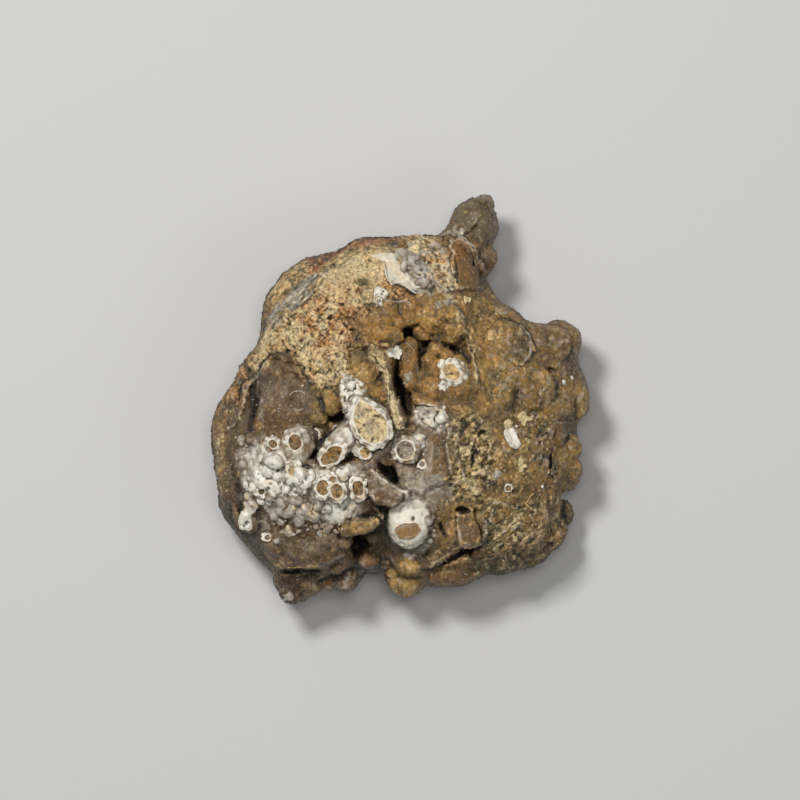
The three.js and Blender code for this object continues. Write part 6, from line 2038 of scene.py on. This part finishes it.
@dataclass(frozen=True)
class Scatter:
    """Crystals or crumbs strewn over the stone by Geometry Nodes, most where a trait is strong."""

    name: str
    kind: Kind
    trait: int
    density: float
    sizes: tuple[float, float]
    seed: int
    floor: float = 0.1

    def tree(self, material: bpy.types.Material) -> bpy.types.GeometryNodeTree:
        """Build the node tree.

        Args:
            material: What the strewn things are made of.

        Returns:
            The tree, with inputs for density, the least and greatest size, and the seed.
        """
        tree = bpy.data.node_groups.new(self.name, "GeometryNodeTree")
        face = tree.interface
        face.new_socket("Stone", in_out="INPUT", socket_type="NodeSocketGeometry")
        for label, kind in (("Density", "NodeSocketFloat"), ("Least size", "NodeSocketFloat"),
                            ("Greatest size", "NodeSocketFloat"), ("Seed", "NodeSocketInt")):
            face.new_socket(label, in_out="INPUT", socket_type=kind)
        face.new_socket("Strewn", in_out="OUTPUT", socket_type="NodeSocketGeometry")

        add = partial(add_node, tree)
        source = add("NodeGroupInput")
        traits = add("GeometryNodeInputNamedAttribute", {"Name": "traits"}, data_type="FLOAT_COLOR")
        part = add("FunctionNodeSeparateColor", {0: traits.outputs[0]}).outputs[self.trait]
        power = add("ShaderNodeMath", {0: part, 1: 1.6}, operation="POWER").outputs[0]
        share = add("ShaderNodeMath", {0: power, 1: self.floor}, operation="MAXIMUM").outputs[0]
        density = add("ShaderNodeMath", {0: share, 1: source.outputs["Density"]}, operation="MULTIPLY").outputs[0]
        spread = add("GeometryNodeDistributePointsOnFaces",
                     {"Mesh": source.outputs["Stone"], "Density": density, "Seed": source.outputs["Seed"]})
        size = add("FunctionNodeRandomValue", {2: source.outputs["Least size"], 3: source.outputs["Greatest size"],
                                               "Seed": 3}, data_type="FLOAT").outputs[1]
        if self.kind is Kind.CRYSTAL:
            shape = add("GeometryNodeMeshCone", {"Vertices": 5, "Radius Bottom": 0.5, "Depth": 1.7}, fill_type="NGON")
            tilt = add("FunctionNodeRandomValue", {0: (-0.7, -0.7, -3.1), 1: (0.7, 0.7, 3.1), "Seed": 4},
                       data_type="FLOAT_VECTOR").outputs[0]
            spin = add("FunctionNodeRotateRotation",
                       {0: spread.outputs["Rotation"],
                        1: add("FunctionNodeEulerToRotation", {0: tilt}).outputs[0]},
                       rotation_space="LOCAL").outputs[0]
            sunk = add("GeometryNodeTransform", {0: shape.outputs[0], "Translation": (0.0, 0.0, -1.0)}).outputs[0]
        else:
            shape = add("GeometryNodeMeshIcoSphere", {"Radius": 0.5, "Subdivisions": 1})
            tilt = add("FunctionNodeRandomValue", {0: (-3.1, -3.1, -3.1), 1: (3.1, 3.1, 3.1), "Seed": 4},
                       data_type="FLOAT_VECTOR").outputs[0]
            spin = add("FunctionNodeEulerToRotation", {0: tilt}).outputs[0]
            sunk = add("GeometryNodeTransform", {0: shape.outputs[0], "Scale": (1.0, 0.8, 0.62)}).outputs[0]
        strewn = add("GeometryNodeInstanceOnPoints", {0: spread.outputs[0], "Instance": sunk, "Rotation": spin,
                                                      "Scale": size}).outputs[0]
        shade = add("FunctionNodeRandomValue", {"Seed": 9}, data_type="FLOAT").outputs[1]
        named = add("GeometryNodeStoreNamedAttribute", {0: strewn, "Name": "shade", "Value": shade},
                    data_type="FLOAT", domain="INSTANCE").outputs[0]
        real = add("GeometryNodeRealizeInstances", {0: named}).outputs[0]
        if self.kind is Kind.CRUMB:
            where = add("GeometryNodeInputPosition").outputs[0]
            noise = add("ShaderNodeTexNoise", {"Vector": where, "Scale": 2200.0, "Detail": 1.0}).outputs["Color"]
            centred = add("ShaderNodeVectorMath", {0: noise, 1: (0.5, 0.5, 0.5)}, operation="SUBTRACT").outputs[0]
            shift = add("ShaderNodeVectorMath", {0: centred, "Scale": 0.0006}, operation="SCALE").outputs[0]
            real = add("GeometryNodeSetPosition", {0: real, "Offset": shift}).outputs[0]
        done = add("GeometryNodeSetMaterial", {0: real, "Material": material}).outputs[0]
        add("NodeGroupOutput", {0: done})
        return tree

    def build(self, ground: bpy.types.Mesh, material: bpy.types.Material) -> bpy.types.Object:
        """Strew the things over the stone.

        Args:
            ground: The stone's outer faces, with their traits.
            material: What they are made of.

        Returns:
            The piece.
        """
        piece = bpy.data.objects.new(self.name, ground.copy())
        bpy.context.scene.collection.objects.link(piece)
        modifier = piece.modifiers.new("strewn", "NODES")
        modifier.node_group = self.tree(material)
        inputs = {item.name: item.identifier for item in modifier.node_group.interface.items_tree
                  if item.in_out == "INPUT"}
        modifier[inputs["Density"]] = self.density * 1e6
        modifier[inputs["Least size"]] = self.sizes[0] / 1000.0
        modifier[inputs["Greatest size"]] = self.sizes[1] / 1000.0
        modifier[inputs["Seed"]] = self.seed
        MeshMaker.settle(piece)
        return piece


@dataclass
class Studio:
    """The plain pale floor, the soft lights and the camera that looks straight down."""

    height: float = 3.2
    view_width: float = 0.2
    focus_height: float = 0.026

    def build(self) -> None:
        """Make the floor, the lights and the camera."""
        mesh = bpy.data.meshes.new("floor")
        mesh.from_pydata([(-6, -6, 0), (6, -6, 0), (6, 6, 0), (-6, 6, 0)], [], [(0, 1, 2, 3)])
        floor = bpy.data.objects.new("floor", mesh)
        bpy.context.scene.collection.objects.link(floor)
        f = Finish("floor")
        shader = f.node("ShaderNodeBsdfPrincipled", {"Base Color": (0.66, 0.655, 0.64, 1.0), "Roughness": 0.95})
        f.node("ShaderNodeOutputMaterial", {0: shader.outputs[0]})
        mesh.materials.append(f.material)
        self.light("key", (-0.3, 0.38, 1.02), 0.2, 7.7)
        self.light("fill", (0.6, -0.3, 0.9), 0.6, 1.1)
        self.light("top", (0.05, 0.1, 1.3), 0.3, 3.2)
        world = bpy.data.worlds.new("studio")
        world.use_nodes = True
        world.node_tree.nodes["Background"].inputs[0].default_value = (0.97, 0.98, 1.0, 1.0)
        world.node_tree.nodes["Background"].inputs[1].default_value = 0.13
        bpy.context.scene.world = world
        bpy.context.scene.view_settings.view_transform = "Standard"
        data = bpy.data.cameras.new("camera")
        data.sensor_width = 36.0
        data.lens = 36.0 * (self.height - self.focus_height) / self.view_width
        data.clip_start, data.clip_end = 0.05, 20.0
        camera = bpy.data.objects.new("camera", data)
        camera.location = (0.0, 0.0, self.height)
        bpy.context.scene.collection.objects.link(camera)
        bpy.context.scene.camera = camera

    @staticmethod
    def light(name: str, spot: Sequence[float], size: float, power: float) -> None:
        """Add an area light that faces the stone.

        Args:
            name: Its name.
            spot: Where it stands, in metres.
            size: Its side.
            power: Its power in watts.
        """
        data = bpy.data.lights.new(name, "AREA")
        data.size, data.energy = size, power
        light = bpy.data.objects.new(name, data)
        light.location = spot
        away = -np.array([spot[0], spot[1], spot[2] - 0.03])
        away /= np.linalg.norm(away)
        light.rotation_euler = (math.acos(-away[2]), 0.0, math.atan2(away[1], away[0]) - math.pi / 2)
        bpy.context.scene.collection.objects.link(light)


def outer_faces(pieces: Sequence[bpy.types.Object], inside: Callable[[Array], Array]) -> bpy.types.Mesh:
    """Join the faces of several pieces that lie open to the air.

    Args:
        pieces: The pieces.
        inside: Tells how deep places lie below the stone's worked surface, in millimetres.

    Returns:
        A mesh with their tints and traits.
    """
    points, faces, tints, traits, start = [], [], [], [], 0
    for piece in pieces:
        mesh = piece.data
        at, triangles = MeshMaker.points(mesh), MeshMaker.triangles(mesh)
        open_ = (inside(at) < 0.75) & (at[:, 2] > 1.5)
        triangles = triangles[open_[triangles].all(axis=1)]
        for name, values in (("tint", tints), ("traits", traits)):
            rgba = np.empty(len(at) * 4, np.float32)
            mesh.attributes[name].data.foreach_get("color", rgba)
            values.append(rgba.reshape(-1, 4)[:, :3])
        points.append(at)
        faces.append(triangles + start)
        start += len(at)
    ground = MeshMaker.build("ground", np.concatenate(points), np.concatenate(faces))
    MeshMaker.paint(ground.data, np.concatenate(tints), np.concatenate(traits))
    mesh = ground.data
    bpy.data.objects.remove(ground)
    return mesh


def keep(piece: bpy.types.Object, finish: bpy.types.Material | None = None) -> None:
    """Dress a piece, let it stand for the stone and ride on it."""
    if finish is not None:
        piece.data.materials.append(finish)
    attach(piece, BODY)
    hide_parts(NODE)
    LOG.info("%s: %d triangles, lowest point %.2f mm", piece.name, len(MeshMaker.triangles(piece.data)),
             MeshMaker.points(piece.data)[:, 2].min())


def main() -> None:
    """Build the specimen and its studio."""
    logging.basicConfig(level=logging.INFO, format="%(asctime)s %(name)s: %(message)s")
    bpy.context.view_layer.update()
    nodule = Nodule()
    nodule.sculpt()
    LOG.info("sculpted")
    stone_finish = StoneFinish("chalcedony").material()
    body = nodule.body()
    keep(body, stone_finish)
    shells = []
    for region in REGIONS:
        shells.append(nodule.shell(region))
        keep(shells[-1], stone_finish)
    stalactites = StubCluster(nodule.face).build()
    keep(stalactites, StoneFinish("stalactite", variation=0.5, bump=0.6, subsurface=0.15).material())
    buds = BudCluster(nodule.face).build()
    keep(buds, StoneFinish("buds", variation=0.4, bump=0.5, roughness=(0.34, 0.6), subsurface=0.2).material())
    keep(Trim(nodule.face).build(), StoneFinish("flakes", variation=0.5, bump=0.6).material())

    def depth(points: Array) -> Array:
        """Tell how deep places lie below the worked surface."""
        steep = -nodule.volume.sample(points)
        above = points[:, 2] - nodule.face.at(nodule.face.z + nodule.face.rise, points)
        return np.where(above > -1.2, 0.0, steep)

    ground = outer_faces([body, *shells], depth)
    keep(Scatter("druse", Kind.CRYSTAL, 1, 0.6, (0.16, 0.4), 5, 0.03).build(ground, CrystalFinish().material()))
    crumb_finish = StoneFinish("crumbs", variation=0.6, bump=0.6, shaded=True).material()
    keep(Scatter("crumbs", Kind.CRUMB, 0, 0.5, (0.22, 0.75), 8, 0.02).build(ground, crumb_finish))
    bpy.data.meshes.remove(ground)
    Studio().build()


if __name__ == "__main__":
    main()
